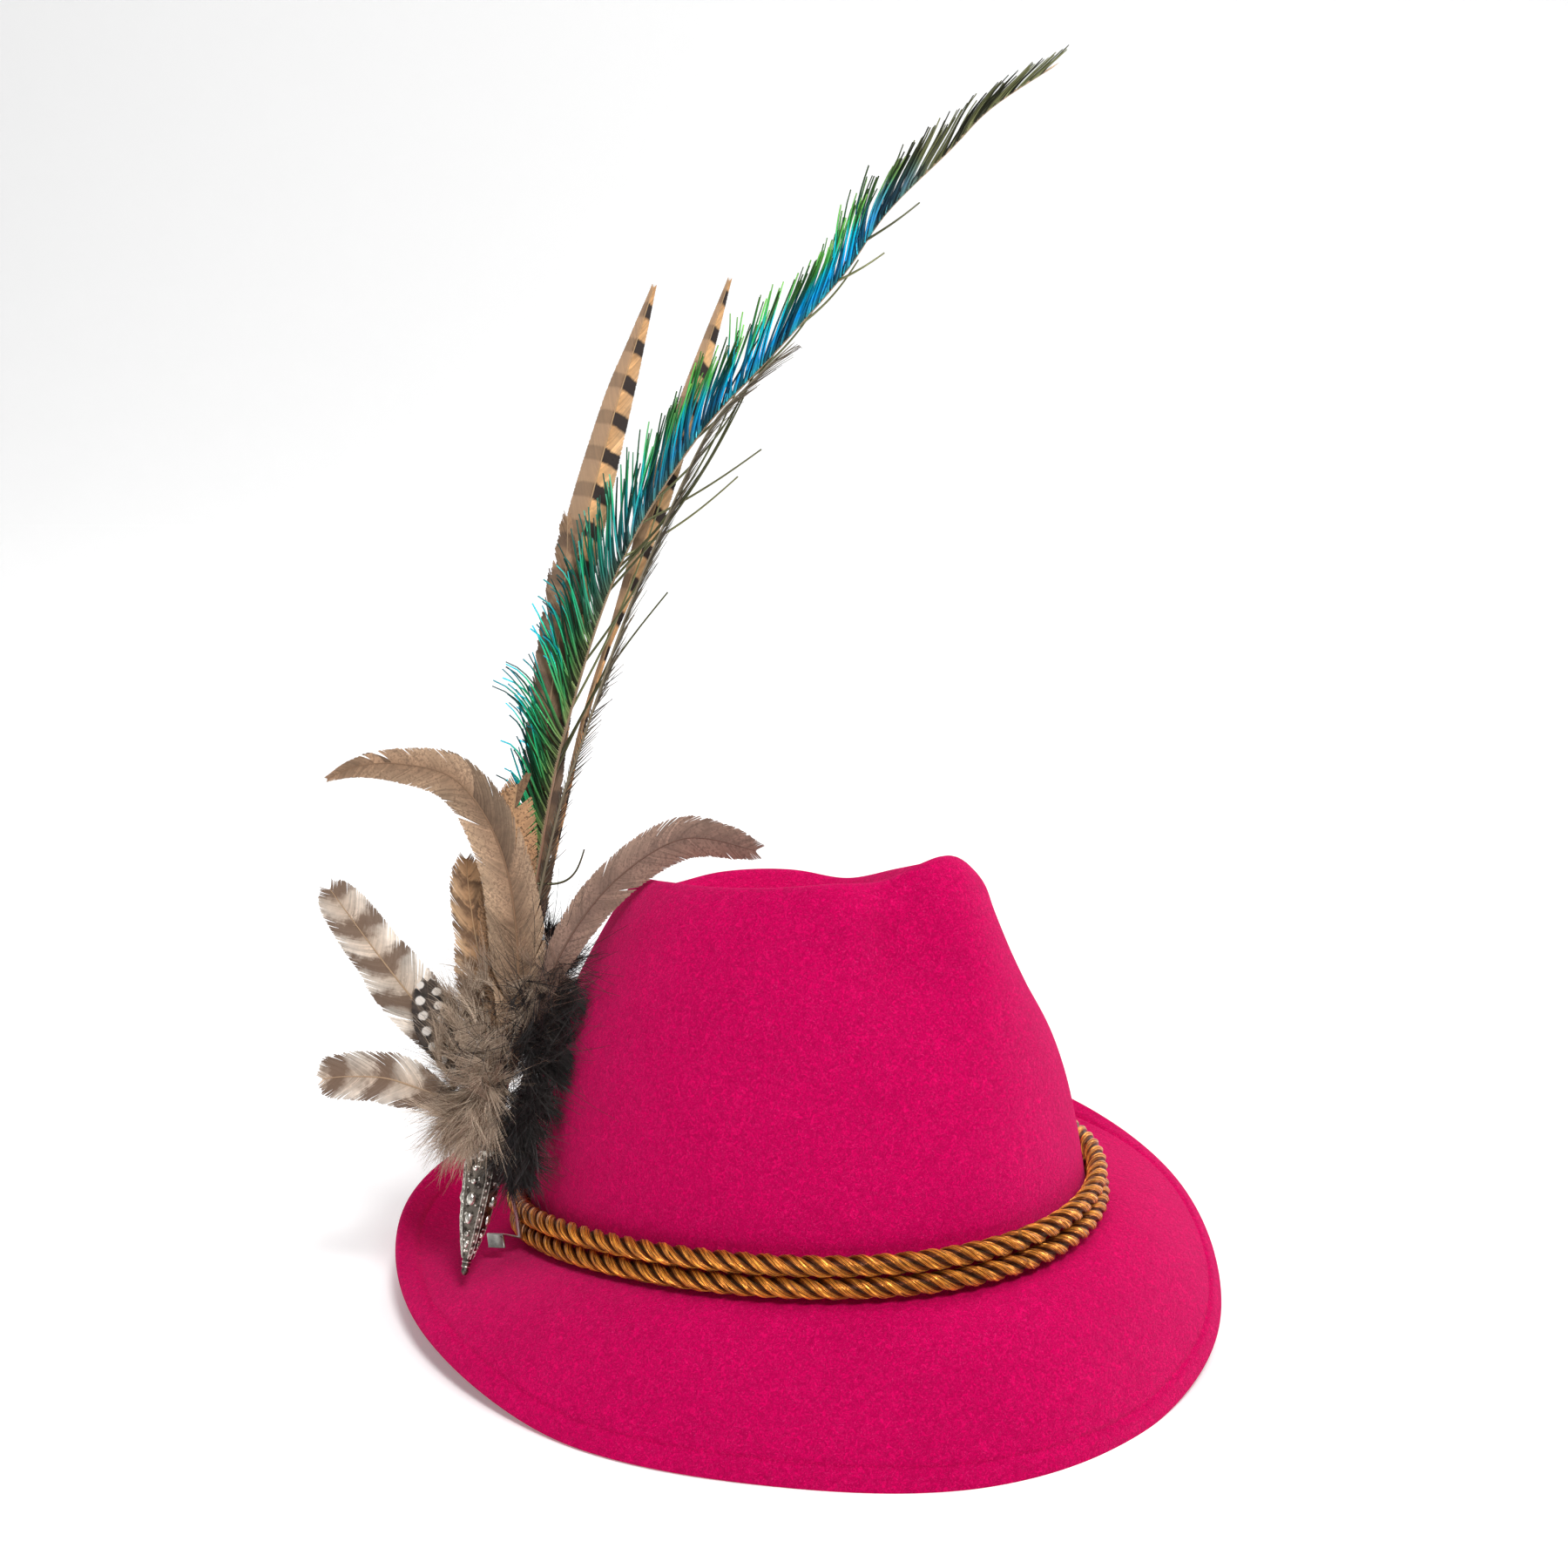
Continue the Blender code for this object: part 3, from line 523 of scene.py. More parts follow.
def plus(tree, first, second):
    """Add two values."""
    return maths(tree, "ADD", first, second)


def times(tree, first, second):
    """Multiply two values."""
    return maths(tree, "MULTIPLY", first, second)


def stripes(tree, place, count):
    """Soft stripes from 0 to 1, so many to a unit of place."""
    wave = maths(tree, "SINE", times(tree, place, 2.0 * math.pi * count))
    return plus(tree, times(tree, wave, 0.5), 0.5)


def noise(tree, place, scale, detail, roughness=0.5, distortion=0.0):
    """Fine uneven pattern from 0 to 1."""
    return wire(tree, "ShaderNodeTexNoise", {"Vector": place, "Scale": scale, "Detail": detail,
                "Roughness": roughness, "Distortion": distortion}).outputs["Fac"]


def object_place(tree):
    """Place in the object's own space."""
    return wire(tree, "ShaderNodeTexCoord").outputs["Object"]


def strand_place(tree):
    """Surface coordinate of the strands, and its parts across and along them."""
    uv = wire(tree, "ShaderNodeUVMap", uv_map="place").outputs["UV"]
    split = wire(tree, "ShaderNodeSeparateXYZ", {"Vector": uv})
    return uv, split.outputs["X"], split.outputs["Y"]


def strand_tone(tree):
    """Tone of each strand, from 0 to 1."""
    uv = wire(tree, "ShaderNodeUVMap", uv_map="tone").outputs["UV"]
    return wire(tree, "ShaderNodeSeparateXYZ", {"Vector": uv}).outputs["X"]


def grey(value):
    """Grey colour of one value."""
    return (value, value, value)


def bump(tree, shader, height, distance, strength):
    """Small relief on the shader."""
    made = wire(tree, "ShaderNodeBump", {"Height": height, "Distance": distance, "Strength": strength})
    tree.links.new(made.outputs["Normal"], shader.inputs["Normal"])


def felt_material(colours):
    """Dyed wool felt with a short nap and scattered lighter fibres."""
    material, tree, shader = new_material("wool_felt", Roughness=0.92, Specular_IOR_Level=0.02,
                                          Sheen_Weight=0.22, Sheen_Roughness=0.22,
                                          Sheen_Tint=(1.0, 0.22, 0.50, 1.0))
    place = object_place(tree)
    clouds = noise(tree, place, 38.0, 3.0, 0.6)
    nap = noise(tree, place, 620.0, 5.0, 0.78, 1.6)
    fibres = noise(tree, place, 900.0, 2.0, 0.9, 4.0)
    deep = tuple(colours.felt)
    light = tuple(colours.felt_light)
    mottled = blend(tree, clouds, [c * 0.88 for c in deep], [min(c * 1.10, 1.0) for c in deep])
    specks = ramp(tree, nap, ((0.36, grey(0.80)), (0.50, grey(0.98)), (0.62, grey(1.40))))
    loose = ramp(tree, fibres, ((0.56, grey(0.0)), (0.68, grey(0.60))))
    colour = blend(tree, loose, tinted(tree, mottled, specks), light)
    tree.links.new(colour, shader.inputs["Base Color"])
    bump(tree, shader, plus(tree, nap, times(tree, fibres, 0.6)), 0.0006, 0.75)
    return material


def cord_material(colours):
    """Satin yarn with fine threads along each strand, with painted shade where the strands meet, between the
    threads and in the furrows, and painted highlights on their crests.
    """
    material, tree, shader = new_material("satin_yarn", Roughness=0.30, Specular_IOR_Level=0.6,
                                          Metallic=0.65, Sheen_Weight=0.10, Sheen_Roughness=0.3,
                                          Sheen_Tint=(1.0, 0.70, 0.30, 1.0))
    uv, outer, along = strand_place(tree)
    turned = plus(tree, outer, times(tree, along, 0.30))
    turned = plus(tree, turned, times(tree, noise(tree, uv, 7.0, 2.0), 0.05))
    threads = stripes(tree, turned, 11.0)
    plies = stripes(tree, turned, 4.0)
    gold = tuple(colours.cord)
    # Painted shade between the threads and painted highlight on their crests: dark and light gold along the
    # thread stripes
    tone = ramp(tree, threads, ((0.0, [c * 0.22 for c in gold]), (0.30, [c * 0.70 for c in gold]),
                                (1.0, [min(c * 1.35, 1.0) for c in gold])))
    # Painted shade in the furrows between the plies, with a slight painted highlight on their crests
    ply_shade_and_highlight = ramp(tree, plies, ((0.0, (0.42, 0.33, 0.25)), (0.35, grey(0.95)), (1.0, grey(1.15))))
    # Painted shade on the strands' inner faces where they meet, and a painted highlight on their outer faces
    strand_meet_shade_and_highlight = ramp(tree, outer, ((0.52, (0.14, 0.07, 0.03)), (0.64, (0.45, 0.30, 0.18)), (0.78, grey(1.25))))
    worn = ramp(tree, noise(tree, object_place(tree), 2200.0, 2.0), ((0.3, grey(0.75)), (0.7, grey(1.2))))
    for share in (ply_shade_and_highlight, strand_meet_shade_and_highlight, worn):
        tone = tinted(tree, tone, share)
    tree.links.new(tone, shader.inputs["Base Color"])
    bump(tree, shader, plus(tree, times(tree, threads, 0.5), times(tree, plies, 0.6)), 0.0004, 1.0)
    return material


def silver_material(name, light, dark, rough):
    """Oxidised silver-coloured metal, dark in its hollows."""
    material, tree, shader = new_material(name, Metallic=1.0, Specular_IOR_Level=0.5)
    place = object_place(tree)
    stain = noise(tree, place, 420.0, 5.0, 0.7)
    tree.links.new(ramp(tree, stain, ((0.40, dark), (0.55, light))), shader.inputs["Base Color"])
    gloss = ramp(tree, stain, ((0.3, grey(rough + 0.18)), (0.7, grey(rough))))
    tree.links.new(gloss, shader.inputs["Roughness"])
    bump(tree, shader, noise(tree, place, 2600.0, 3.0), 0.00012, 0.5)
    return material


# Each feather's finish: ground colours near the quill and at the edge, colours of its marks and quill, how
# many bars to the centimetre (0 for specks), their width, how ragged and slanted they are and their strength.
Finish = namedtuple("Finish", "inner outer mark quill per_cm width ragged slant mark_share")
FEATHER_FINISHES = {
    "tail": Finish((0.80, 0.43, 0.18), (0.66, 0.42, 0.23), (0.030, 0.018, 0.014),
        (0.50, 0.33, 0.18), 0.82, 0.34, 0.10, 0.16, 1.0),
    "ragged": Finish((0.34, 0.20, 0.11), (0.27, 0.18, 0.12), (0.05, 0.032, 0.025),
        (0.40, 0.27, 0.16), 0.85, 0.40, 0.30, 0.10, 0.55),
    "grizzly": Finish((0.60, 0.46, 0.35), (0.80, 0.71, 0.62), (0.150, 0.088, 0.055),
        (0.42, 0.28, 0.17), 0.66, 0.46, 0.60, -0.50, 0.90),
    "barred": Finish((0.50, 0.27, 0.13), (0.70, 0.46, 0.27), (0.100, 0.050, 0.028),
        (0.45, 0.28, 0.15), 1.05, 0.42, 0.80, -0.45, 0.80),
    "speckled": Finish((0.54, 0.315, 0.165), (0.40, 0.215, 0.105), (0.10, 0.050, 0.026),
        (0.52, 0.33, 0.18), 0.0, 0.5, 0.6, 0.0, 0.75),
    "hackle": Finish((0.27, 0.160, 0.095), (0.50, 0.34, 0.22), (0.12, 0.07, 0.045),
        (0.24, 0.14, 0.08), 0.0, 0.5, 0.5, 0.0, 0.50),
    "mauve": Finish((0.24, 0.145, 0.110), (0.36, 0.230, 0.170), (0.09, 0.052, 0.042),
        (0.16, 0.09, 0.065), 0.0, 0.5, 0.5, 0.0, 0.50),
}


def vane_place(tree):
    """Place across the vane from 0 to 1, signed and plain distance from the quill, and place along it."""
    _, sideways, along = strand_place(tree)
    across = maths(tree, "SUBTRACT", times(tree, sideways, 2.0), 1.0)
    return sideways, across, maths(tree, "ABSOLUTE", across), along


def feather_bars(tree, finish, across, reach, along, cloud, tone):
    """Bars across a vane that slant and wander."""
    wander = times(tree, maths(tree, "SUBTRACT", cloud, 0.5), finish.ragged * 0.22)
    jitter = times(tree, maths(tree, "SUBTRACT", tone, 0.5), finish.ragged * 0.05)
    shifted = plus(tree, along, times(tree, reach, finish.slant * 0.1))
    for shift in (times(tree, across, finish.ragged * 0.05), wander, jitter):
        shifted = plus(tree, shifted, shift)
    bar = stripes(tree, shifted, finish.per_cm * 10.0)
    edge = 1.0 - finish.width
    soft = 0.06 + 0.42 * finish.ragged
    return ramp(tree, bar, ((max(edge - soft, 0.0), grey(0.0)), (min(edge + soft, 1.0), grey(1.0))))


def feather_material(kind):
    """Barbed vane with the bars, specks and quill of one kind of feather."""
    finish = FEATHER_FINISHES[kind]
    material, tree, shader = new_material("feather_" + kind, Roughness=0.55, Specular_IOR_Level=0.30,
                                          Sheen_Weight=0.08, Sheen_Roughness=0.4,
                                          Sheen_Tint=(1.0, 0.90, 0.80, 1.0))
    sideways, across, reach, along = vane_place(tree)
    tone = strand_tone(tree)
    place = object_place(tree)
    cloud = noise(tree, place, 130.0, 4.0, 0.65)
    speck = noise(tree, place, 1300.0, 2.0, 0.6)
    ground = ramp(tree, reach, ((0.0, finish.inner), (1.0, finish.outer)))
    ground = tinted(tree, ground, ramp(tree, cloud, ((0.3, grey(0.72)), (0.7, grey(1.22)))))
    ground = tinted(tree, ground, ramp(tree, tone, ((0.0, grey(0.42)), (1.0, grey(1.40)))))
    if finish.per_cm:
        marks = feather_bars(tree, finish, across, reach, along, cloud, tone)
    else:
        grain = times(tree, speck, plus(tree, cloud, 0.5))
        marks = ramp(tree, grain, ((0.50, grey(0.0)), (0.64, grey(1.0))))
    marks = tinted(tree, marks, grey(finish.mark_share))
    if kind == "tail":
        marks = tinted(tree, marks, ramp(tree, sideways, ((0.44, grey(0.35)), (0.52, grey(1.0)))))
        dull = ramp(tree, sideways, ((0.44, grey(0.75)), (0.52, grey(0.0))))
        ground = blend(tree, dull, ground, (0.36, 0.235, 0.150))
    colour = blend(tree, marks, ground, finish.mark)
    quill = ramp(tree, reach, ((0.0, grey(1.0)), (0.055, grey(0.0))))
    tree.links.new(blend(tree, quill, colour, finish.quill), shader.inputs["Base Color"])
    bump(tree, shader, speck, 0.0002, 0.4)
    return material


def guinea_material():
    """Dark vane with two rows of white dots, and its quill."""
    material, tree, shader = new_material("feather_guinea", Roughness=0.55, Specular_IOR_Level=0.35)
    _, across, reach, along = vane_place(tree)
    row = plus(tree, times(tree, along, 21.0), times(tree, maths(tree, "SIGN", across), 0.25))
    step = maths(tree, "SUBTRACT", maths(tree, "FRACT", row), 0.5)
    off = times(tree, maths(tree, "SUBTRACT", reach, 0.42), 1.15)
    spot = wire(tree, "ShaderNodeCombineXYZ", {"X": step, "Y": off}).outputs[0]
    radius = wire(tree, "ShaderNodeVectorMath", {0: spot}, operation="LENGTH").outputs["Value"]
    dots = ramp(tree, radius, ((0.24, grey(1.0)), (0.31, grey(0.0))))
    dark = ramp(tree, noise(tree, object_place(tree), 500.0, 3.0),
                ((0.35, (0.022, 0.017, 0.015)), (0.7, (0.085, 0.062, 0.050))))
    colour = blend(tree, dots, dark, (0.78, 0.72, 0.66))
    quill = ramp(tree, reach, ((0.0, grey(1.0)), (0.05, grey(0.0))))
    tree.links.new(blend(tree, quill, colour, (0.10, 0.07, 0.05)), shader.inputs["Base Color"])
    return material


def peacock_material():
    """Metallic green and blue barbs, bronze where they are loose, on a pale brown quill."""
    material, tree, shader = new_material("peacock_barbs", Roughness=0.34, Metallic=0.55,
                                          Specular_IOR_Level=0.6)
    _, reach, along = strand_place(tree)
    lower = ramp(tree, reach, ((0.0, (0.14, 0.12, 0.05)), (0.25, (0.05, 0.22, 0.06)),
                               (0.70, (0.01, 0.36, 0.16)), (0.92, (0.0, 0.30, 0.38))))
    upper = ramp(tree, reach, ((0.0, (0.02, 0.20, 0.16)), (0.20, (0.0, 0.22, 0.50)),
                               (0.55, (0.0, 0.36, 0.46)), (0.72, (0.04, 0.36, 0.08)),
                               (1.0, (0.16, 0.40, 0.07))))
    height = times(tree, along, 0.25)
    colour = blend(tree, ramp(tree, height, ((0.40, grey(0.0)), (0.62, grey(1.0)))), lower, upper)
    loose = ramp(tree, height, ((0.80, grey(0.0)), (0.88, grey(1.0))))
    colour = blend(tree, loose, colour, (0.10, 0.105, 0.045))
    sparkle = ramp(tree, strand_tone(tree), ((0.0, grey(0.08)), (0.45, grey(0.55)), (1.0, grey(2.6))))
    quill = ramp(tree, reach, ((0.0, grey(1.0)), (0.03, grey(0.0))))
    colour = blend(tree, quill, tinted(tree, colour, sparkle), (0.42, 0.30, 0.19))
    tree.links.new(colour, shader.inputs["Base Color"])
    return material


def plain_strands(name, colour, light, rough):
    """Loose hair or barbs whose strands differ a little in tone."""
    material, tree, shader = new_material(name, Roughness=rough, Specular_IOR_Level=0.4)
    tree.links.new(ramp(tree, strand_tone(tree), ((0.0, colour), (1.0, light))), shader.inputs["Base Color"])
    return material


# Felt with its hem

# Distances in from the brim's edge: stations across the hem, where it starts and its groove. Then that
# groove's depth and width, and how many stations the crown and brim are laid on.
HEM_STATIONS = (0.0100, 0.0090, 0.0084, 0.0078, 0.0072, 0.0066, 0.0056, 0.0042, 0.0026, 0.0013)
HEM_START = 0.0115
HEM_GROOVE = 0.0078
HEM_GROOVE_DEPTH = 0.00055
HEM_GROOVE_WIDTH = 0.0007
CROWN_STATIONS = 62
BRIM_STATIONS = 60


def build_felt(sizes, colours):
    """Crown and brim as one closed wall of felt with a turned hem and a groove inside it."""
    columns = FELT_COLUMNS
    angles = [wrap(2.0 * math.pi * column / columns) for column in range(columns)]
    crown_rows = len(TOP) + len(WALL)
    lines = []
    for angle in angles:
        line = np.array(felt_line(angle))
        crown, _ = even_rows(line[:crown_rows], CROWN_STATIONS)
        brim, lengths = even_rows(line[crown_rows - 1:], BRIM_STATIONS)
        inside = lengths[-1] - lengths
        spread = np.concatenate((np.linspace(lengths[-1], HEM_START, 16)[1:], HEM_STATIONS))
        brim = np.stack([np.interp(-spread, -inside, brim[:, k]) for k in range(3)], axis=1)
        lines.append(np.concatenate((crown, brim)))
    outer = np.stack(lines, axis=1)
    along = np.gradient(outer, axis=0)
    turn = np.roll(outer, -1, axis=1) - np.roll(outer, 1, axis=1)
    normal = unit(np.cross(along, turn))
    inside = np.full(len(outer), 1.0)
    inside[CROWN_STATIONS:] = spread
    groove = -HEM_GROOVE_DEPTH * np.exp(-((inside - HEM_GROOVE) / HEM_GROOVE_WIDTH) ** 2)
    puff = sizes.hem_rise * np.clip((HEM_GROOVE - inside) / 0.0022, 0.0, 1.0)
    upper = outer + normal * (groove + puff)[:, None, None]
    thick = sizes.felt_thickness + sizes.hem_rise * np.clip((HEM_GROOVE - inside) / 0.003, 0.0, 1.0)
    lower = outer - normal * thick[:, None, None]
    edge = (upper[-1] + lower[-1]) * 0.5
    away = unit(upper[-1] - upper[-3])
    half = np.linalg.norm(upper[-1] - lower[-1], axis=1, keepdims=True) * 0.5
    lift = unit(upper[-1] - lower[-1])
    rounding = []
    for turned in np.radians((62.0, 35.0, 0.0, -35.0, -62.0)):
        rounding.append(edge + away * half * math.cos(turned) + lift * half * math.sin(turned))
    section = np.concatenate((upper, np.array(rounding), lower[::-1]))
    world = to_world(section.reshape(-1, 3))
    world[:, 2] = np.maximum(world[:, 2], 0.0)
    section = ((world - SHIFT) @ TURN).reshape(section.shape)
    shell = Shell()
    rows = len(section)
    shell.add(section, grid_faces(rows, columns, ring_columns=True)[:, ::-1], np.zeros((rows, columns, 2)))
    piece_points = shell.count
    centre_top = section[0].mean(axis=0)
    centre_low = section[-1].mean(axis=0)
    shell.add(np.array((centre_top, centre_low)), np.empty((0, 4), dtype=int), np.zeros((2, 2)))
    fan = []
    for column in range(columns):
        after = (column + 1) % columns
        fan.append((piece_points, column, after, after))
        last = (rows - 1) * columns
        fan.append((piece_points + 1, last + after, last + column, last + column))
    shell.faces.append(np.array(fan))
    piece = shell.piece("felt_hat_body", felt_material(colours), "felt", ("felt_body",))
    smooth = piece.modifiers.new("soft_felt", "SUBSURF")
    smooth.levels = 1
    smooth.render_levels = 1
    return piece


# Twisted cords

def cord_centre(angle, level):
    """Middle of a cord: level 0 lies in the corner of crown and brim, level 1 on top of it."""
    rise = (2.0 * level + 1.0) * CORD_RADIUS + (level + 1.5) * CLEARANCE
    point = base_point(angle) + outward(angle) * (CORD_RADIUS + 2.0 * CLEARANCE)
    point[2] += rise
    return point


def build_cord(name, node, level, sizes, colours, start):
    """Three satin strands laid round each other in a closed ring."""
    angles = np.linspace(0.0, 2.0 * np.pi, 721)
    ring = np.array([cord_centre(wrap(angle), level) for angle in angles])
    steps = np.linalg.norm(np.diff(ring, axis=0), axis=1)
    along = np.concatenate(((0.0,), np.cumsum(steps)))
    wanted = np.linspace(0.0, along[-1], STRAND_STATIONS, endpoint=False)
    centre = np.stack([np.interp(wanted, along, ring[:, k]) for k in range(3)], axis=1)
    tangent = unit(np.roll(centre, -1, axis=0) - np.roll(centre, 1, axis=0))
    out = unit(np.cross(tangent, np.array((0.0, 0.0, 1.0))))
    up = np.cross(out, tangent)
    turns = round(along[-1] / sizes.cord_lay)
    shell = Shell()
    offset = CORD_RADIUS - STRAND_RADIUS
    for strand in range(3):
        phase = start - 2.0 * math.pi * (strand / 3.0 + turns * wanted / along[-1])
        heart = centre + offset * (np.cos(phase)[:, None] * out + np.sin(phase)[:, None] * up)
        way = unit(np.roll(heart, -1, axis=0) - np.roll(heart, 1, axis=0))
        radial = unit(heart - centre)
        radial = unit(radial - way * np.sum(radial * way, axis=1, keepdims=True))
        side = np.cross(way, radial)
        turn = np.linspace(0.0, 2.0 * np.pi, STRAND_SIDES, endpoint=False)
        lobes = 1.0 + 0.085 * np.cos(turn[None, :] * 6.0 + phase[:, None])
        wide = np.cos(turn)[None, :, None] * radial[:, None, :]
        tall = 1.06 * np.sin(turn)[None, :, None] * side[:, None, :]
        points = heart[:, None, :] + STRAND_RADIUS * lobes[..., None] * (wide + tall)
        place = np.empty((STRAND_STATIONS, STRAND_SIDES, 2))
        place[..., 0] = np.abs(np.linspace(-1.0, 1.0, STRAND_SIDES))[None, :]
        place[..., 1] = (turns * wanted / along[-1])[:, None]
        shell.add(points, grid_faces(STRAND_STATIONS, STRAND_SIDES, True, True), place)
    return shell.piece(name, cord_material(colours), "gold_cord", (node,))


# Holder and clip

Turned = namedtuple("Turned", "along radius")
HOLDER = (Turned(0.0, 0.06), Turned(0.008, 0.10), Turned(0.02, 0.15), Turned(0.033, 0.13),
          Turned(0.045, 0.12), Turned(0.055, 0.165), Turned(0.065, 0.165), Turned(0.08, 0.15),
          Turned(0.12, 0.235), Turned(0.19, 0.36), Turned(0.28, 0.49), Turned(0.38, 0.59),
          Turned(0.52, 0.69), Turned(0.61, 0.75), Turned(0.70, 0.80), Turned(0.78, 0.845),
          Turned(0.86, 0.90), Turned(0.93, 0.95), Turned(0.96, 0.97), Turned(0.98, 1.02), Turned(1.0, 1.0))
PANELS = 4


def holder_frame():
    """Two directions square to the holder's axis, the first toward the viewer."""
    front = unit(NEAR * 0.93 - RIGHT * 0.36)
    front = unit(front - HOLDER_AXIS * np.dot(front, HOLDER_AXIS))
    side = np.cross(HOLDER_AXIS, front)
    return front, side


def on_holder(along, turn, stand=0.0):
    """Points on the holder by share of its length and angle from its front, standing off it."""
    along = np.asarray(along, dtype=float)
    turn = np.asarray(turn, dtype=float)
    front, side = holder_frame()
    shares = [row.along for row in HOLDER]
    radii = [row.radius for row in HOLDER]
    radius = np.interp(along, shares, radii) * HOLDER_RADIUS + stand
    tip = MOUTH - HOLDER_AXIS * HOLDER_LENGTH
    return (tip + HOLDER_AXIS * (along * HOLDER_LENGTH)[..., None]
            + radius[..., None] * (np.cos(turn)[..., None] * front + np.sin(turn)[..., None] * side))


def add_bead(shell, centre, normal, half_long, half_wide, height):
    """Add a low oval bead that stands on a surface."""
    normal = unit(normal)
    long = unit(HOLDER_AXIS - normal * np.dot(HOLDER_AXIS, normal))
    wide = np.cross(normal, long)
    rings = []
    for tilt in np.radians((0.0, 25.0, 50.0, 72.0, 88.0)):
        turn = np.linspace(0.0, 2.0 * np.pi, 14, endpoint=False)
        ring = (centre + math.cos(tilt) * (np.cos(turn)[:, None] * long * half_long
                + np.sin(turn)[:, None] * wide * half_wide) + math.sin(tilt) * height * normal)
        rings.append(ring)
    shell.add(np.array(rings), grid_faces(5, 14, ring_columns=True), np.zeros((5, 14, 2)))


def build_holder():
    """Hollow pointed cone in dark silver with scrolls, beads, grains and wire borders laid on it."""
    shell = Shell()
    columns = 96
    turn = np.linspace(0.0, 2.0 * np.pi, columns, endpoint=False)
    profile, _ = even_rows([(row.along, row.radius, 0.0) for row in HOLDER], 110)
    rows = [on_holder(np.full(columns, share), turn) for share in np.clip(profile[:, 0], 0.0, 1.0)]
    tip = MOUTH - HOLDER_AXIS * HOLDER_LENGTH
    front, side = holder_frame()
    for share, radius in ((1.0, 0.93), (0.9, 0.85), (0.6, 0.58), (0.3, 0.24)):
        ring = HOLDER_RADIUS * radius * (np.cos(turn)[:, None] * front + np.sin(turn)[:, None] * side)
        rows.append(tip + HOLDER_AXIS * (share * HOLDER_LENGTH) + ring)
    rows = np.array(rows)
    shell.add(rows, grid_faces(len(rows), columns, ring_columns=True)[:, ::-1],
              np.zeros((len(rows), columns, 2)))
    body = shell.piece("feather_holder_cone", silver_material("dark_silver", (0.22, 0.19, 0.16),
                       (0.035, 0.028, 0.024), 0.30), "old_silver", ("feather_holder",))
    relief = Shell()
    add_wires(relief)
    add_grains(relief)
    trim = relief.piece("feather_holder_ornament", silver_material("bright_silver", (0.98, 0.94, 0.86),
                        (0.30, 0.27, 0.24), 0.22), "old_silver")
    return body, trim


def add_wire(shell, along, turn, radius, stand):
    """Lay a round wire on the holder."""
    points = on_holder(np.asarray(along), np.asarray(turn), stand)
    add_tubes(shell, points, radius, 8)


def add_twist(shell, along, turn, radius, stand, twists):
    """Lay two wires twisted round each other on the holder."""
    along = np.asarray(along, dtype=float)
    turn = np.asarray(turn, dtype=float)
    middle = on_holder(along, turn, stand)
    way = unit(np.gradient(middle, axis=0))
    normal = unit(middle - (MOUTH + HOLDER_AXIS * np.sum((middle - MOUTH) * HOLDER_AXIS, axis=1,
                                                        keepdims=True)))
    beside = np.cross(way, normal)
    phase = np.linspace(0.0, 2.0 * np.pi * twists, len(along))
    for start in (0.0, np.pi):
        path = middle + radius * 0.75 * (np.cos(phase + start)[:, None] * normal
                                         + np.sin(phase + start)[:, None] * beside)
        add_tubes(shell, path, radius * 0.72, 6)


def add_wires(shell):
    """Rings, panel borders and scrolls of the holder."""
    ring = np.linspace(0.0, 2.0 * np.pi, 361)
    for share, radius, twists in ((0.985, 0.00045, 0), (0.955, 0.00032, 60), (0.905, 0.00028, 0),
                                  (0.078, 0.00022, 0), (0.050, 0.00020, 0)):
        along = np.full(len(ring), share)
        if twists:
            add_twist(shell, along, ring, radius, 0.0002, twists)
        else:
            add_wire(shell, along, ring, radius, 0.0001)
    for panel in range(PANELS):
        middle = panel * 2.0 * np.pi / PANELS
        share = np.linspace(0.10, 0.63, 110)
        spread = np.interp(share, (0.10, 0.35, 0.63), (0.52, 0.60, 0.66))
        for side in (-1.0, 1.0):
            add_twist(shell, share, middle + side * spread, 0.00019, 0.00010, 66)
        for flip in (-1.0, 1.0):
            add_scroll(shell, 0.715, middle + flip * 0.24, flip, 0.034, 0.25)
            add_scroll(shell, 0.790, middle + flip * 0.18, -flip, 0.024, 0.17)
        between = middle + np.pi / PANELS
        for flip in (-1.0, 1.0):
            add_scroll(shell, 0.855, between + flip * 0.16, flip, 0.022, 0.15)
            add_scroll(shell, 0.740, between + flip * 0.10, -flip, 0.018, 0.10)


def add_scroll(shell, along, turn, flip, tall, wide):
    """Lay one spiral of tapered wire on the holder."""
    wind = np.linspace(0.0, 3.4 * np.pi, 64)
    size = np.linspace(1.0, 0.20, 64)
    add_wire(shell, along + tall * size * np.sin(wind), turn + flip * wide * size * np.cos(wind),
             np.linspace(0.00062, 0.00036, 64), 0.0001)


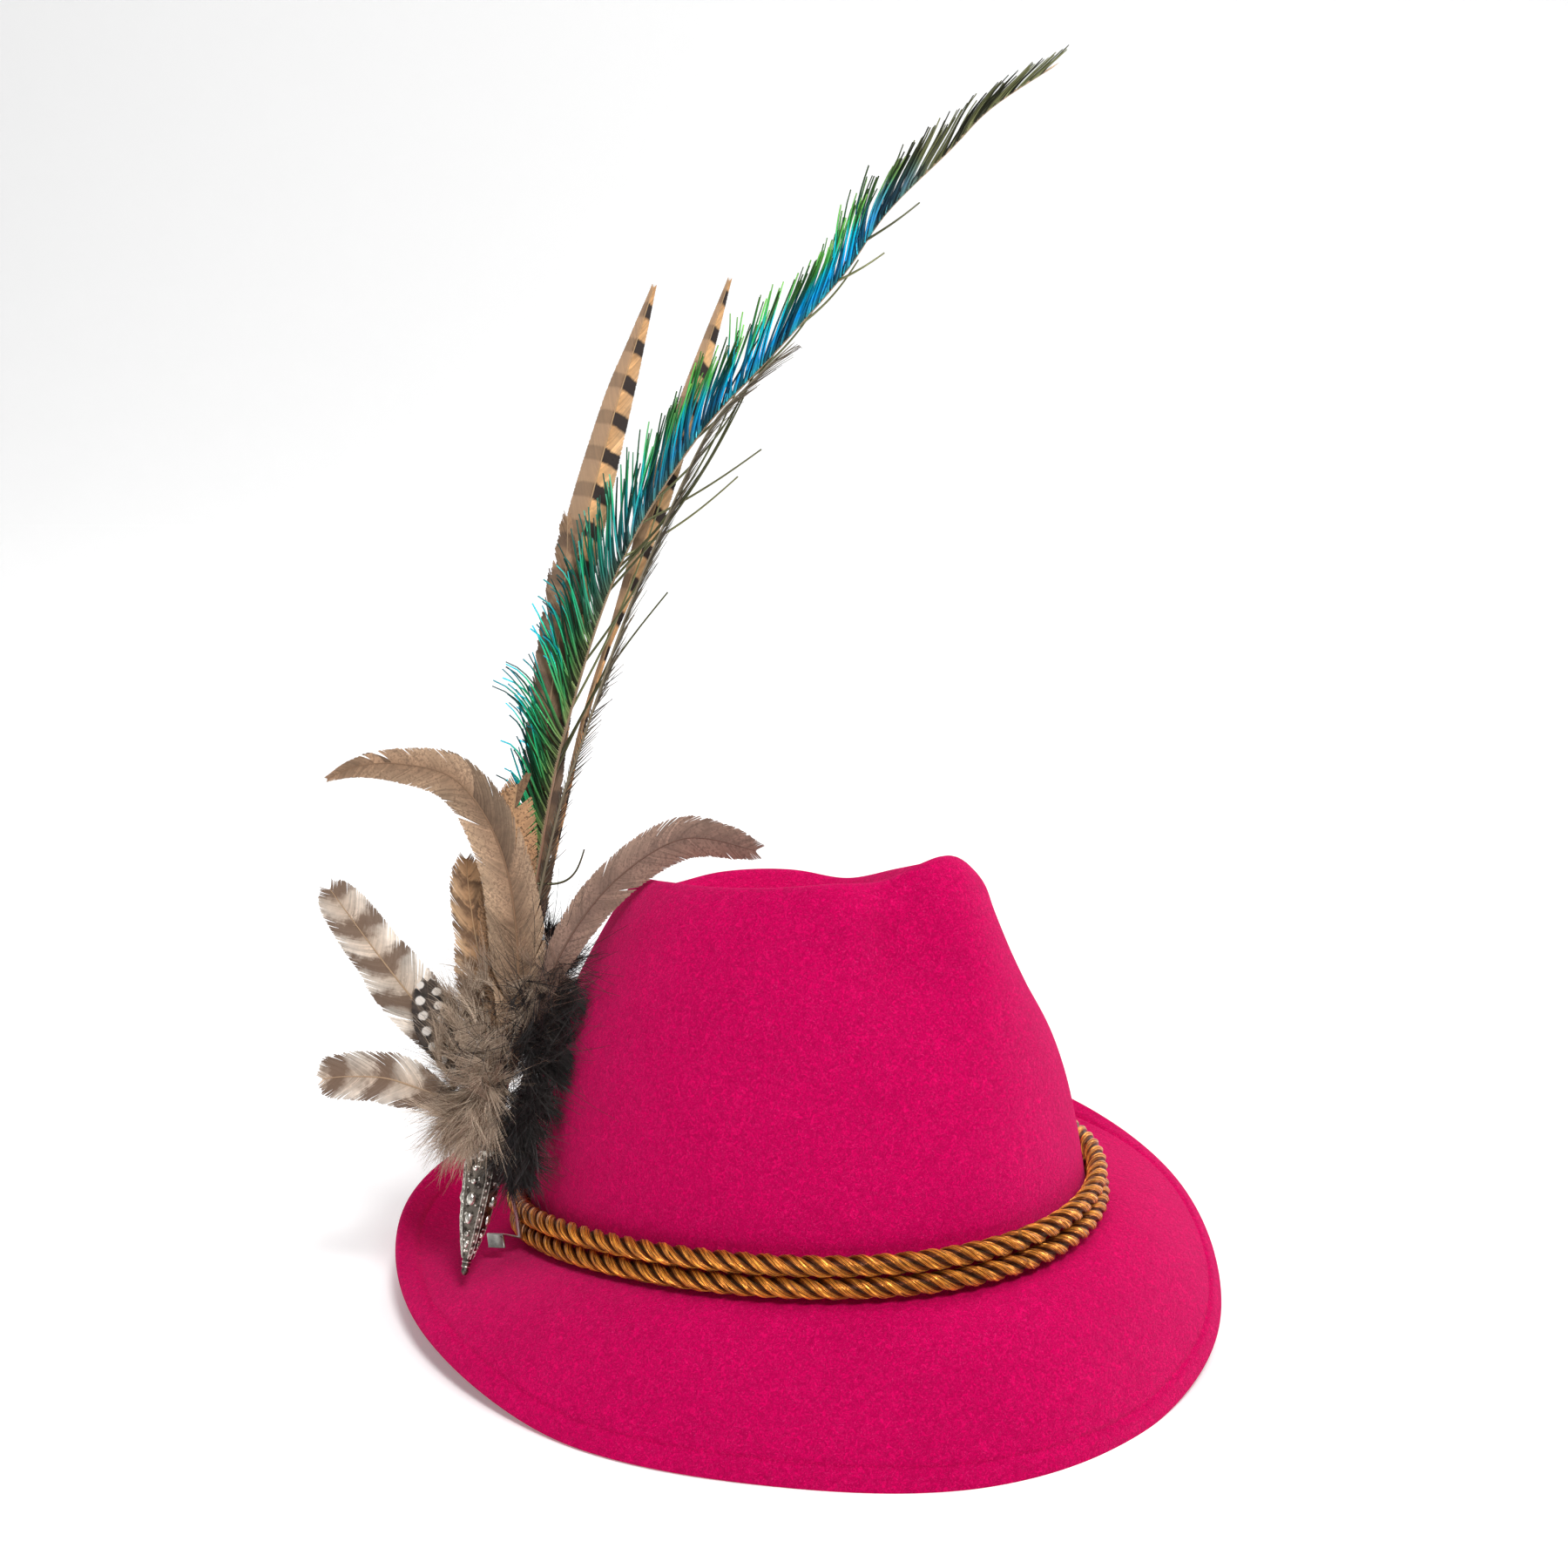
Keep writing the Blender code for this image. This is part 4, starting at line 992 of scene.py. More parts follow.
def add_grains(shell):
    """Beads and granules of the holder."""
    def stud(share, turn, long, wide, height):
        centre = on_holder(np.array([share]), np.array([turn]))[0]
        axis_point = MOUTH + HOLDER_AXIS * np.dot(centre - MOUTH, HOLDER_AXIS)
        add_bead(shell, centre, centre - axis_point, long, wide, height)
    spread = np.random.default_rng(11)
    for panel in range(PANELS):
        middle = panel * 2.0 * np.pi / PANELS
        stud(0.825, middle, 0.0010, 0.0010, 0.0008)
        stud(0.640, middle, 0.0011, 0.0009, 0.0008)
        for share, long, wide in ((0.560, 0.0010, 0.0009), (0.455, 0.0022, 0.0015), (0.340, 0.0019, 0.0011),
                                  (0.245, 0.0009, 0.0008), (0.185, 0.0012, 0.0006)):
            stud(share, middle, long, wide, wide * 0.75)
        for _ in range(26):
            share = 0.13 + 0.49 * spread.random()
            wide = np.interp(share, (0.10, 0.63), (0.20, 0.46))
            turn = middle + wide * spread.choice((-1.0, 1.0)) * spread.uniform(0.6, 1.0)
            stud(share, turn, 0.00034, 0.00034, 0.00030)
        for number in range(12):
            stud(0.12 + number * 0.044, middle + np.pi / PANELS, 0.00048, 0.00040, 0.00038)
    for _ in range(170):
        share = 0.645 + 0.235 * spread.random()
        stud(share, spread.random() * 2.0 * np.pi, 0.00033, 0.00033, 0.00030)
    for number in range(30):
        stud(0.930, number * 2.0 * np.pi / 30.0, 0.00044, 0.00044, 0.00040)


def build_clip():
    """Thin metal strip from the back of the holder over the cords to a small square tab."""
    out = ORNAMENT_OUT
    along = np.array((-out[1], out[0], 0.0))
    front = unit(out - HOLDER_AXIS * np.dot(out, HOLDER_AXIS))
    reach = HOLDER_RADIUS * CLIP_TOP_RADIUS + CLEARANCE + CLIP_THICKNESS
    top = MOUTH - HOLDER_AXIS * (HOLDER_LENGTH * (1.0 - CLIP_TOP)) - front * reach
    base = base_point(ORNAMENT_ANGLE) + out * (2.0 * CORD_RADIUS + 3.0 * CLEARANCE)
    upper = np.array((base[0], base[1], cord_centre(ORNAMENT_ANGLE, 1)[2]))
    lower = np.array((base[0], base[1], cord_centre(ORNAMENT_ANGLE, 0)[2]))
    tab = lower + out * TAB_STAND + np.array((0.0, 0.0, TAB_RISE))
    turn = spin(2, TAB_TURN)
    rows = ((top, CLIP_WIDTH, front, along), (upper, CLIP_WIDTH, out, along), (lower, CLIP_WIDTH, out, along),
            (tab, TAB_WIDTH, turn @ out, turn @ along),
            (tab - np.array((0.0, 0.0, TAB_LENGTH)), TAB_WIDTH, turn @ out, turn @ along))
    sections = []
    for middle, width, normal, beside in rows:
        half = beside * (width * 0.5)
        thick = normal * CLIP_THICKNESS
        sections.append((middle - half, middle + half, middle + half + thick, middle - half + thick))
    shell = Shell()
    shell.add(np.array(sections), grid_faces(5, 4, ring_columns=True), np.zeros((5, 4, 2)))
    shell.faces.append(np.array(((0, 1, 2, 3), (19, 18, 17, 16))))
    piece = shell.piece("holder_clip_strip", silver_material("clip_silver", (0.60, 0.58, 0.54),
                        (0.45, 0.43, 0.40), 0.24), "old_silver", ("holder_clip",))
    rounding = piece.modifiers.new("soft_edge", "BEVEL")
    rounding.width = 0.00018
    rounding.segments = 2
    return piece


# Feathers

Vane = namedtuple("Vane", "along side left right")
SHAPES = {
    "right_hackle": (
        Vane(0.2, -0.137, 0.05, 0.05), Vane(0.43, -0.22, 0.35, 0.35), Vane(0.67, -0.24, 0.5, 0.5),
        Vane(0.89, -0.175, 0.48, 0.45), Vane(1.0, 0.0, 0.08, 0.08)),
    "short_tail": (
        Vane(0.33, -0.041, 0.4, 0.4), Vane(0.48, -0.042, 0.5, 0.5), Vane(0.65, -0.027, 0.5, 0.5),
        Vane(0.83, -0.013, 0.4, 0.4), Vane(1.0, 0.0, 0.06, 0.06)),
    "long_tail": (
        Vane(0.28, -0.035, 0.35, 0.35), Vane(0.49, -0.041, 0.46, 0.46), Vane(0.66, -0.041, 0.5, 0.5),
        Vane(0.83, -0.025, 0.36, 0.36), Vane(0.92, -0.012, 0.2, 0.2), Vane(1.0, 0.0, 0.05, 0.05)),
    "ragged_tail": (
        Vane(0.33, -0.014, 0.4, 0.4), Vane(0.62, -0.01, 0.5, 0.5), Vane(0.81, 0.001, 0.45, 0.45),
        Vane(0.93, 0.004, 0.25, 0.22), Vane(1.0, 0.0, 0.08, 0.08)),
    "sword": (
        Vane(0.2, -0.088, 0.45, 0.12), Vane(0.31, -0.118, 0.8, 0.18), Vane(0.45, -0.139, 0.7, 0.18),
        Vane(0.575, -0.13, 0.7, 0.16), Vane(0.67, -0.104, 0.66, 0.16), Vane(0.756, -0.082, 0.6, 0.14),
        Vane(0.82, -0.073, 0.35, 0.2), Vane(0.89, -0.05, 0.25, 0.18), Vane(0.94, -0.034, 0.2, 0.16),
        Vane(1.0, 0.0, 0.05, 0.05)),
    "side_stem": (
        Vane(0.33, -0.079, 0.3, 0.6), Vane(0.45, -0.083, 0.3, 0.6), Vane(0.64, -0.083, 0.3, 0.5),
        Vane(0.85, -0.066, 0.25, 0.45), Vane(0.93, -0.037, 0.2, 0.35), Vane(1.0, 0.0, 0.1, 0.1)),
    "upright": (
        Vane(0.34, -0.02, 0.4, 0.4), Vane(0.63, -0.03, 0.52, 0.5), Vane(0.85, -0.018, 0.45, 0.45),
        Vane(1.0, 0.0, 0.15, 0.15)),
    "broad": (
        Vane(0.29, -0.03, 0.25, 0.25), Vane(0.5, -0.03, 0.45, 0.45), Vane(0.7, -0.022, 0.5, 0.5),
        Vane(0.9, -0.008, 0.4, 0.4), Vane(1.0, 0.0, 0.14, 0.14)),
    "curled": (
        Vane(0.26, 0.14, 0.4, 0.4), Vane(0.5, 0.264, 0.5, 0.45), Vane(0.68, 0.308, 0.52, 0.5),
        Vane(0.84, 0.287, 0.48, 0.45), Vane(0.94, 0.187, 0.36, 0.3), Vane(0.99, 0.086, 0.2, 0.16),
        Vane(1.0, 0.0, 0.05, 0.05)),
    "low": (
        Vane(0.32, 0.009, 0.12, 0.12), Vane(0.5, 0.035, 0.4, 0.4), Vane(0.69, 0.06, 0.5, 0.5),
        Vane(0.88, 0.035, 0.4, 0.4), Vane(1.0, 0.0, 0.1, 0.1)),
    "short": (
        Vane(0.3, -0.127, 0.15, 0.15), Vane(0.48, -0.145, 0.4, 0.4), Vane(0.68, -0.145, 0.5, 0.5),
        Vane(0.88, -0.07, 0.38, 0.38), Vane(1.0, 0.0, 0.12, 0.12)),
}

# Each feather: its node and slot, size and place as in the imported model, its finish, how far apart its
# barbs grow, how steeply they lean, how much they stray, how hollow its vane is and how much fuller at its
# foot than its table says.
Feather = namedtuple("Feather", "node slot length lean width column layer shape finish pitch slant stray"
                     " cup full")
FEATHERS = (
    Feather("pheasant_tail_short", "tan", 0.2785, 13.7, 0.0085, 1, 0, "short_tail", "tail",
            0.00042, 24, 0.05, 0.10, 0.0),
    Feather("pheasant_tail_long", "tan", 0.2710, 8.8, 0.0130, 0, 1, "long_tail", "tail",
            0.00042, 27, 0.05, 0.10, 0.0),
    Feather("pheasant_tail_ragged", "brown", 0.1925, 4.0, 0.0140, -1, 2, "ragged_tail", "ragged",
            0.00045, 26, 0.22, 0.10, 0.0),
    Feather("grizzly_upper", "grizzly", 0.0949, -40.7, 0.0170, -1, 5, "broad", "grizzly",
            0.00036, 42, 0.10, 0.16, 1.3),
    Feather("feather_barred", "tan", 0.0837, -12.3, 0.0130, 0, 6, "upright", "barred",
            0.00036, 38, 0.20, 0.18, 1.9),
    Feather("guinea_feather", "guinea", 0.0521, -35.0, 0.0130, -1, 7, "short", "guinea",
            0.00034, 42, 0.08, 0.16, -0.25),
    Feather("feather_speckled", "brown", 0.1055, -0.5, 0.0170, 0, 8, "upright", "speckled",
            0.00036, 38, 0.16, 0.18, 1.0),
    Feather("grizzly_lower", "grizzly", 0.0636, -79.0, 0.0160, -1, 9, "low", "grizzly",
            0.00036, 40, 0.16, 0.16, 1.5),
    Feather("hackle_curled", "brown", 0.1228, -29.5, 0.0150, 0, 10, "curled", "hackle",
            0.00036, 34, 0.12, 0.20, 0.7),
    Feather("hackle_right", "brown", 0.1132, 41.7, 0.0115, 1, 11, "right_hackle", "mauve",
            0.00036, 36, 0.12, 0.20, 0.9),
)
SWORD = Feather("peacock_sword", "peacock", 0.3797, 27.0, 0.0160, 1, 3, "sword", "peacock",
            0.00060, 24, 0.2, 0.0, 0.0)
SIDE_STEM = Feather("peacock_side", "olive", 0.2627, 19.4, 0.0060, 0, 4, "side_stem", "olive",
            0.0011, 20, 0.2, 0.0, 0.0)


def feather_rows(feather):
    """Quill points in the plume's plane, each with the vane's reach to the left and right."""
    depth = (feather.layer - 0.5 * (LAYERS - 1)) * LAYER_STEP
    root = MOUTH + RIGHT * (feather.column * COLUMN_STEP) + NEAR * depth
    fan = MOUTH + RIGHT * FAN_SIDE + UP * FAN_RISE
    rows = []
    for along in (-ROOT_DEPTH, 0.0, EXIT_LENGTH):
        rows.append((*(root + HOLDER_AXIS * along), QUILL_RADIUS, QUILL_RADIUS))
    slope = math.radians(feather.lean)
    chord = (RIGHT * math.sin(slope) + UP * math.cos(slope)) * feather.length
    beside = (RIGHT * math.cos(slope) - UP * math.sin(slope)) * feather.length
    for vane in SHAPES[feather.shape]:
        spread = depth * (1.0 + min(vane.along * feather.length, SPREAD_REACH) / LAYER_SPREAD)
        point = fan + chord * vane.along + beside * vane.side + NEAR * spread
        left = max(vane.left * feather.width, QUILL_RADIUS)
        reach = max(vane.right * feather.width, QUILL_RADIUS)
        rows.append((*point, left, reach))
    return rows


class Quill:
    """A feather's quill line with its directions and the vane's reach, by distance along it."""

    def __init__(self, feather, count=400):
        rows, self.along = even_rows(feather_rows(feather), count)
        self.length = self.along[-1]
        self.points = rows[:, :3]
        self.tangent = unit(np.gradient(self.points, axis=0))
        self.across = unit(np.cross(self.tangent, NEAR))
        self.lift = np.cross(self.across, self.tangent)
        self.reach = {-1.0: rows[:, 3], 1.0: rows[:, 4]}

    def at(self, values, along):
        """Values of the line at distances along it."""
        if values.ndim == 1:
            return np.interp(along, self.along, values)
        return np.stack([np.interp(along, self.along, values[:, k]) for k in range(3)], axis=-1)


def add_rachis(shell, quill, thick, thin, middle=0.5):
    """Add the quill as a tapered round stem."""
    count = 120
    along = np.linspace(0.0, quill.length, count)
    share = np.linspace(0.0, 1.0, count)
    radius = thick + (thin - thick) * share ** 0.8
    radius[-1] = 0.00003
    place = np.stack((np.full(count, middle), along * 10.0), axis=1)[None]
    add_tubes(shell, quill.at(quill.points, along), radius, 8, 0.5, place)


# How much wider than its table a vane grows, by share of its length: the tail that is worn to its quill
# below the sword, and the hackle with a blunt end.
Fullness = namedtuple("Fullness", "shares factors")
FULLNESS = {
    "pheasant_tail_short": Fullness((0.0, 0.56, 0.70), (0.22, 0.22, 1.0)),
    "hackle_right": Fullness((0.0, 0.3, 0.6, 0.85, 0.95, 1.0), (1.9, 1.5, 1.15, 1.2, 1.7, 2.4)),
}


def add_barbs(shell, quill, side, feather, source, start, end=0.995, steps=6):
    """Add one side of a vane as flat barbs that overlap, from the share start of the quill to end."""
    count = int((end - start) * quill.length / feather.pitch)
    root = np.linspace(start * quill.length, end * quill.length, count)
    strands = np.cumsum(source.random(count) < 0.035)
    group = source.normal(0.0, 1.0, strands[-1] + 1)[strands]
    spread = feather.stray * (0.8 * group + 0.25 * source.normal(size=count))
    slant = np.radians(feather.slant) * (1.0 + spread)
    slant = np.clip(slant, 0.12, 1.3)
    fuller = 1.0 + feather.full * np.clip(1.0 - root / (0.62 * quill.length), 0.0, 1.0)
    if feather.node in FULLNESS:
        fuller = np.interp(root / quill.length, *FULLNESS[feather.node])
    reach = quill.at(quill.reach[side], root) * fuller
    for _ in range(3):
        tip = np.minimum(root + 0.30 * reach / np.tan(slant), quill.length)
        reach = quill.at(quill.reach[side], tip) * fuller
    taper = np.clip((quill.length - root) / (0.06 * quill.length), 0.0, 1.0)
    reach = reach * (1.0 - feather.stray * 0.9 * np.abs(source.normal(size=count)) * 0.35)
    run = np.minimum(reach / np.tan(slant), quill.length * 1.035 - root)
    share = np.linspace(0.0, 1.0, steps)[None, :]
    out = reach[:, None] * share ** 0.95
    forward = run[:, None] * share ** 1.25
    along = root[:, None] + forward
    inside = np.minimum(along, quill.length)
    beyond = along - inside
    centre = quill.at(quill.points, inside) + quill.at(quill.tangent, inside) * beyond[..., None]
    lift = -feather.cup * out * (out / max(float(reach.max()), 1e-6)) + group[:, None] * 0.00010 * share
    lift += source.normal(0.0, 0.00006, count)[:, None] * share
    centre = centre + quill.at(quill.across, inside) * (side * out)[..., None]
    centre = centre + quill.at(quill.lift, inside) * lift[..., None]
    way = unit(np.gradient(centre, axis=1))
    beside = unit(np.cross(quill.at(quill.lift, inside), way))
    width = feather.pitch * 0.95 * (1.0 - 0.55 * share ** 2) * np.maximum(taper, 0.45)[:, None]
    low = centre - beside * width[..., None]
    high = centre + beside * width[..., None]
    points = np.stack((low, high), axis=2)
    most = max(float(quill.reach[side].max()), 1e-6)
    sideways = np.clip(out / most, 0.07, 1.0)
    place = np.stack((0.5 + 0.5 * side * sideways, along * 10.0), axis=-1)
    place = np.repeat(place[:, :, None, :], 2, axis=2)
    tone = np.clip(0.5 + 0.16 * group + 0.10 * source.normal(size=count), 0.0, 1.0)
    tone = np.repeat(tone, steps * 2)
    shell.add(points, many_faces(count, steps, 2), place, tone)


# Down at the foot of the small feathers: how many barbs, the share of the quill where they end, their
# length and curl, and the longest feather that has any.
DOWN_BARBS = 300
DOWN_END = 0.42
DOWN_LENGTH = 0.012
DOWN_CURL = 0.6
LONGEST_DOWNY = 0.15


def add_down(shell, quill, source, start):
    """Add loose downy barbs at the foot of a feather."""
    count = DOWN_BARBS
    root = (start + (DOWN_END - start) * source.random(count)) * quill.length
    side = np.where(source.random(count) < 0.5, -1.0, 1.0)
    slant = source.uniform(0.5, 1.1, count)
    steps = 7
    share = np.linspace(0.0, 1.0, steps)
    base = quill.at(quill.points, root)
    tangent = quill.at(quill.tangent, root)
    across = quill.at(quill.across, root) * side[:, None]
    lift = quill.at(quill.lift, root)
    way = tangent * np.cos(slant)[:, None] + across * np.sin(slant)[:, None]
    way = way + lift * source.normal(0.0, 0.25, count)[:, None]
    size = DOWN_LENGTH * source.uniform(0.5, 1.1, count)
    bend = (tangent * source.uniform(-0.3, 0.9, count)[:, None]
            + across * source.uniform(-0.5, 0.5, count)[:, None]
            + lift * source.normal(0.0, 0.5, count)[:, None]) * DOWN_CURL
    paths = (base[:, None, :] + way[:, None, :] * (size[:, None] * share)[..., None]
             + bend[:, None, :] * (size[:, None] * share ** 2)[..., None])
    radius = 0.00009 * (1.0 - 0.8 * share)[None, :] * np.ones((count, 1))
    place = np.stack((np.full(steps, 0.8), np.full(steps, 0.05)), axis=1)[None]
    add_tubes(shell, paths, radius, 3, source.uniform(0.5, 1.0, count), place)


def build_feather(feather, number):
    """One feather with its quill, two sides of barbs and, if it is short, some down at its foot."""
    source = np.random.default_rng(100 + number)
    quill = Quill(feather)
    shell = Shell()
    bare = (ROOT_DEPTH + EXIT_LENGTH * 1.2) / quill.length
    add_rachis(shell, quill, QUILL_RADIUS, 0.00012)
    for side in (-1.0, 1.0):
        add_barbs(shell, quill, side, feather, source, bare)
    material = guinea_material() if feather.finish == "guinea" else feather_material(feather.finish)
    if feather.length < LONGEST_DOWNY:
        add_down(shell, quill, source, bare)
    return shell.piece(feather.node + "_vane", material, feather.slot, (feather.node,))


# Loose barbs right of the peacock sword: share of the quill where each starts, how far its end lies right
# of and above its start in millimetres, and how far it bows out.
Stray = namedtuple("Stray", "share right up bow")
STRAYS = (Stray(0.285, 37.0, 60.0, -3.0), Stray(0.47, 37.0, 26.0, 1.5), Stray(0.50, 39.0, 24.0, 1.0),
          Stray(0.44, 48.0, 72.0, 4.0), Stray(0.45, 42.0, 66.0, 4.0), Stray(0.46, 40.0, 56.0, 4.0),
          Stray(0.52, 34.0, 44.0, 3.0), Stray(0.58, 31.0, 36.0, 2.0), Stray(0.64, 26.0, 30.0, 2.0),
          Stray(0.70, 20.0, 22.0, 1.5), Stray(0.75, 15.0, 9.0, 0.6), Stray(0.79, 17.0, 12.0, 0.6),
          Stray(0.30, 30.0, 66.0, 2.0), Stray(0.34, 30.0, 70.0, 2.0), Stray(0.38, 34.0, 62.0, 3.0),
          Stray(0.86, 22.0, 26.0, 1.0), Stray(0.90, 14.0, 18.0, 0.5), Stray(0.20, 16.0, 11.0, 5.0))
# Share of the sword's quill above which its barbs are thin and sparse.
SWORD_LOOSE = 0.85


def add_strays(shell, quill, source):
    """Add the loose barbs that leave the sword toward the right."""
    share = np.linspace(0.0, 1.0, 24)
    for stray in STRAYS:
        start = quill.at(quill.points, np.array([stray.share * quill.length]))[0]
        reach = (RIGHT * stray.right + UP * stray.up) * 0.001
        bow = unit(np.cross(NEAR, reach)) * (-0.001 * stray.bow) + NEAR * source.normal(0.0, 0.0015)
        path = start + reach * share[:, None] + bow * np.sin(np.pi * share)[:, None]
        radius = 0.00042 * (1.0 - 0.40 * share)
        place = np.stack((np.full(24, 0.10), np.full(24, 3.9)), axis=1)[None]
        add_tubes(shell, path, radius, 4, float(source.uniform(0.5, 0.9)), place)


def build_sword():
    """Peacock sword: a long quill with shining barbs along its left side and loose ones at its tip."""
    source = np.random.default_rng(200)
    quill = Quill(SWORD, 600)
    shell = Shell()
    add_rachis(shell, quill, 0.00100, 0.00030, 0.0)
    count = 470
    root = np.linspace(0.10, 0.985, count) * quill.length
    share = root / quill.length
    size = np.interp(share, (0.10, 0.2, 0.35, 0.55, 0.75, 0.85, 1.0),
                     (0.018, 0.026, 0.030, 0.030, 0.027, 0.024, 0.012))
    size = size * source.uniform(0.82, 1.08, count)
    slant = np.radians(np.interp(share, (0.1, 0.3, 0.7, 1.0), (36.0, 32.0, 25.0, 11.0)))
    slant = slant * (1.0 + source.normal(0.0, 0.10, count))
    tufts = np.cumsum(source.random(count) < 0.22)
    slant = slant * (1.0 + source.normal(0.0, 0.16, tufts[-1] + 1)[tufts])
    kept = (share < SWORD_LOOSE) | (source.random(count) < 0.65)
    root, share, size, slant = root[kept], share[kept], size[kept], slant[kept]
    count = len(root)
    steps = 9
    step = np.linspace(0.0, 1.0, steps)[None, :]
    hook = np.interp(share, (0.0, 0.38, 0.5), (0.30, 0.22, 0.0)) * source.uniform(0.0, 1.0, count)
    out = (size * np.sin(slant))[:, None] * (step ** 0.92 + hook[:, None] * step ** 4)
    along = root[:, None] + (size * np.cos(slant))[:, None] * (step ** 1.05 - hook[:, None] * step ** 5)
    inside = np.minimum(along, quill.length)
    beyond = along - inside
    centre = quill.at(quill.points, inside) + quill.at(quill.tangent, inside) * beyond[..., None]
    lift = 0.0012 * step * source.normal(0.3, 1.0, count)[:, None] + 0.0004
    centre = centre - quill.at(quill.across, inside) * out[..., None]
    centre = centre + quill.at(quill.lift, inside) * lift[..., None]
    thick = np.where(share < SWORD_LOOSE, 0.00044, 0.00034) * source.uniform(0.8, 1.15, count)
    radius = thick[:, None] * (1.0 - 0.5 * step)
    place = np.stack((np.clip(step * np.ones((count, 1)), 0.05, 1.0), along * 10.0), axis=-1)
    tone = source.uniform(0.0, 1.0, count)
    add_tubes(shell, centre, radius, 4, tone, place)
    add_strays(shell, quill, source)
    return shell.piece("peacock_sword_barbs", peacock_material(), "peacock", ("peacock_sword",))


# Barbs of the second quill: side, longest barb, and the shares of the quill where they start and end.
SIDE_BARBS = ((1.0, 0.009, 0.12, 0.55), (-1.0, 0.004, 0.14, 0.5), (1.0, 0.016, 0.5, 0.97))


def build_side_stem():
    """Second peacock quill with short dark barbs on its right side."""
    source = np.random.default_rng(300)
    quill = Quill(SIDE_STEM, 500)
    shell = Shell()
    add_rachis(shell, quill, 0.0007, 0.00018)
    for side, longest, start, end in SIDE_BARBS:
        count = int((end - start) * quill.length / 0.0012)
        root = np.linspace(start, end, count) * quill.length
        size = longest * source.uniform(0.6, 1.1, count)
        slant = np.radians(26.0 if longest < 0.012 else 9.0) * (1.0 + source.normal(0.0, 0.2, count))
        steps = 6
        step = np.linspace(0.0, 1.0, steps)[None, :]
        out = (size * np.sin(slant))[:, None] * step
        along = np.minimum(root[:, None] + (size * np.cos(slant))[:, None] * step, quill.length)
        centre = quill.at(quill.points, along) + quill.at(quill.across, along) * (side * out)[..., None]
        lift = 0.0006 * step * source.normal(0, 1, count)[:, None]
        centre = centre + quill.at(quill.lift, along) * lift[..., None]
        radius = 0.00026 * (1.0 - 0.7 * step) * np.ones((count, 1))
        add_tubes(shell, centre, radius, 3, source.uniform(0.0, 0.5, count))
    material = plain_strands("olive_barbs", (0.030, 0.026, 0.018), (0.40, 0.33, 0.22), 0.5)
    return shell.piece("peacock_side_stem", material, "olive", ("peacock_side",))


# Fur

# Where hair grows: share of all hairs, start and end of the root line and the way the hair lies, in
# millimetres right of, above and before the holder's mouth, how far the roots scatter, how much the ways
# differ, longest hair and how much it curls.
Patch = namedtuple("Patch", "share start end way scatter fan length curl")
DARK_PATCHES = (
    Patch(0.13, (18, 56, 1), (17, 34, 4), (0.35, 0.5, 0.3), 3.0, 0.60, 12.0, 0.5),
    Patch(0.17, (20, 48, 5), (16, 24, 7), (0.30, -0.5, 0.4), 2.8, 0.60, 12.0, 0.6),
    Patch(0.17, (16, 34, 4), (14, 12, 7), (0.45, -0.5, 0.35), 2.8, 0.60, 12.0, 0.6),
    Patch(0.20, (14, 18, 7), (10, -4, 9), (0.30, -0.9, 0.30), 2.8, 0.45, 13.0, 0.5),
    Patch(0.17, (11, 8, 9), (7, -10, 9), (0.14, -1.0, 0.10), 2.4, 0.35, 14.0, 0.4),
    Patch(0.16, (9, -6, 7), (6, -20, 7), (0.14, -1.0, 0.10), 2.2, 0.35, 12.0, 0.4),
)
LONG_PATCHES = (
    Patch(0.5, (14, 50, 5), (12, 10, 8), (0.60, 0.00, 0.75), 2.5, 0.50, 34.0, 0.35),
    Patch(0.3, (10, 40, 8), (2, 10, 10), (-0.2, 0.4, 0.5), 3.0, 0.80, 24.0, 0.6),
    Patch(0.2, (11, 8, 8), (6, -8, 8), (0.45, -0.7, 0.7), 2.0, 0.40, 26.0, 0.4),
)
PALE_PATCHES = (
    Patch(0.07, (15, 44, 8), (12, 30, 9), (-0.1, -0.3, 0.3), 1.6, 0.65, 8.0, 0.9),
    Patch(0.22, (-13, 14, 6), (-3, 40, 5), (-0.20, 1.0, 0.1), 3.0, 0.35, 13.0, 0.4),
    Patch(0.18, (2, 22, 9), (-3, 6, 10), (-0.20, 0.3, 0.4), 2.6, 0.70, 10.0, 0.7),
    Patch(0.23, (1, 10, 10), (-6, -2, 9), (-0.30, -0.9, 0.1), 2.6, 0.45, 13.0, 0.6),
    Patch(0.16, (-4, 8, 8), (-10, 0, 7), (-0.6, -0.7, 0.1), 2.4, 0.45, 14.0, 0.7),
    Patch(0.14, (-6, 0, 8), (-11, -6, 6), (-0.12, -1.0, 0.0), 2.0, 0.35, 14.0, 0.5),
)


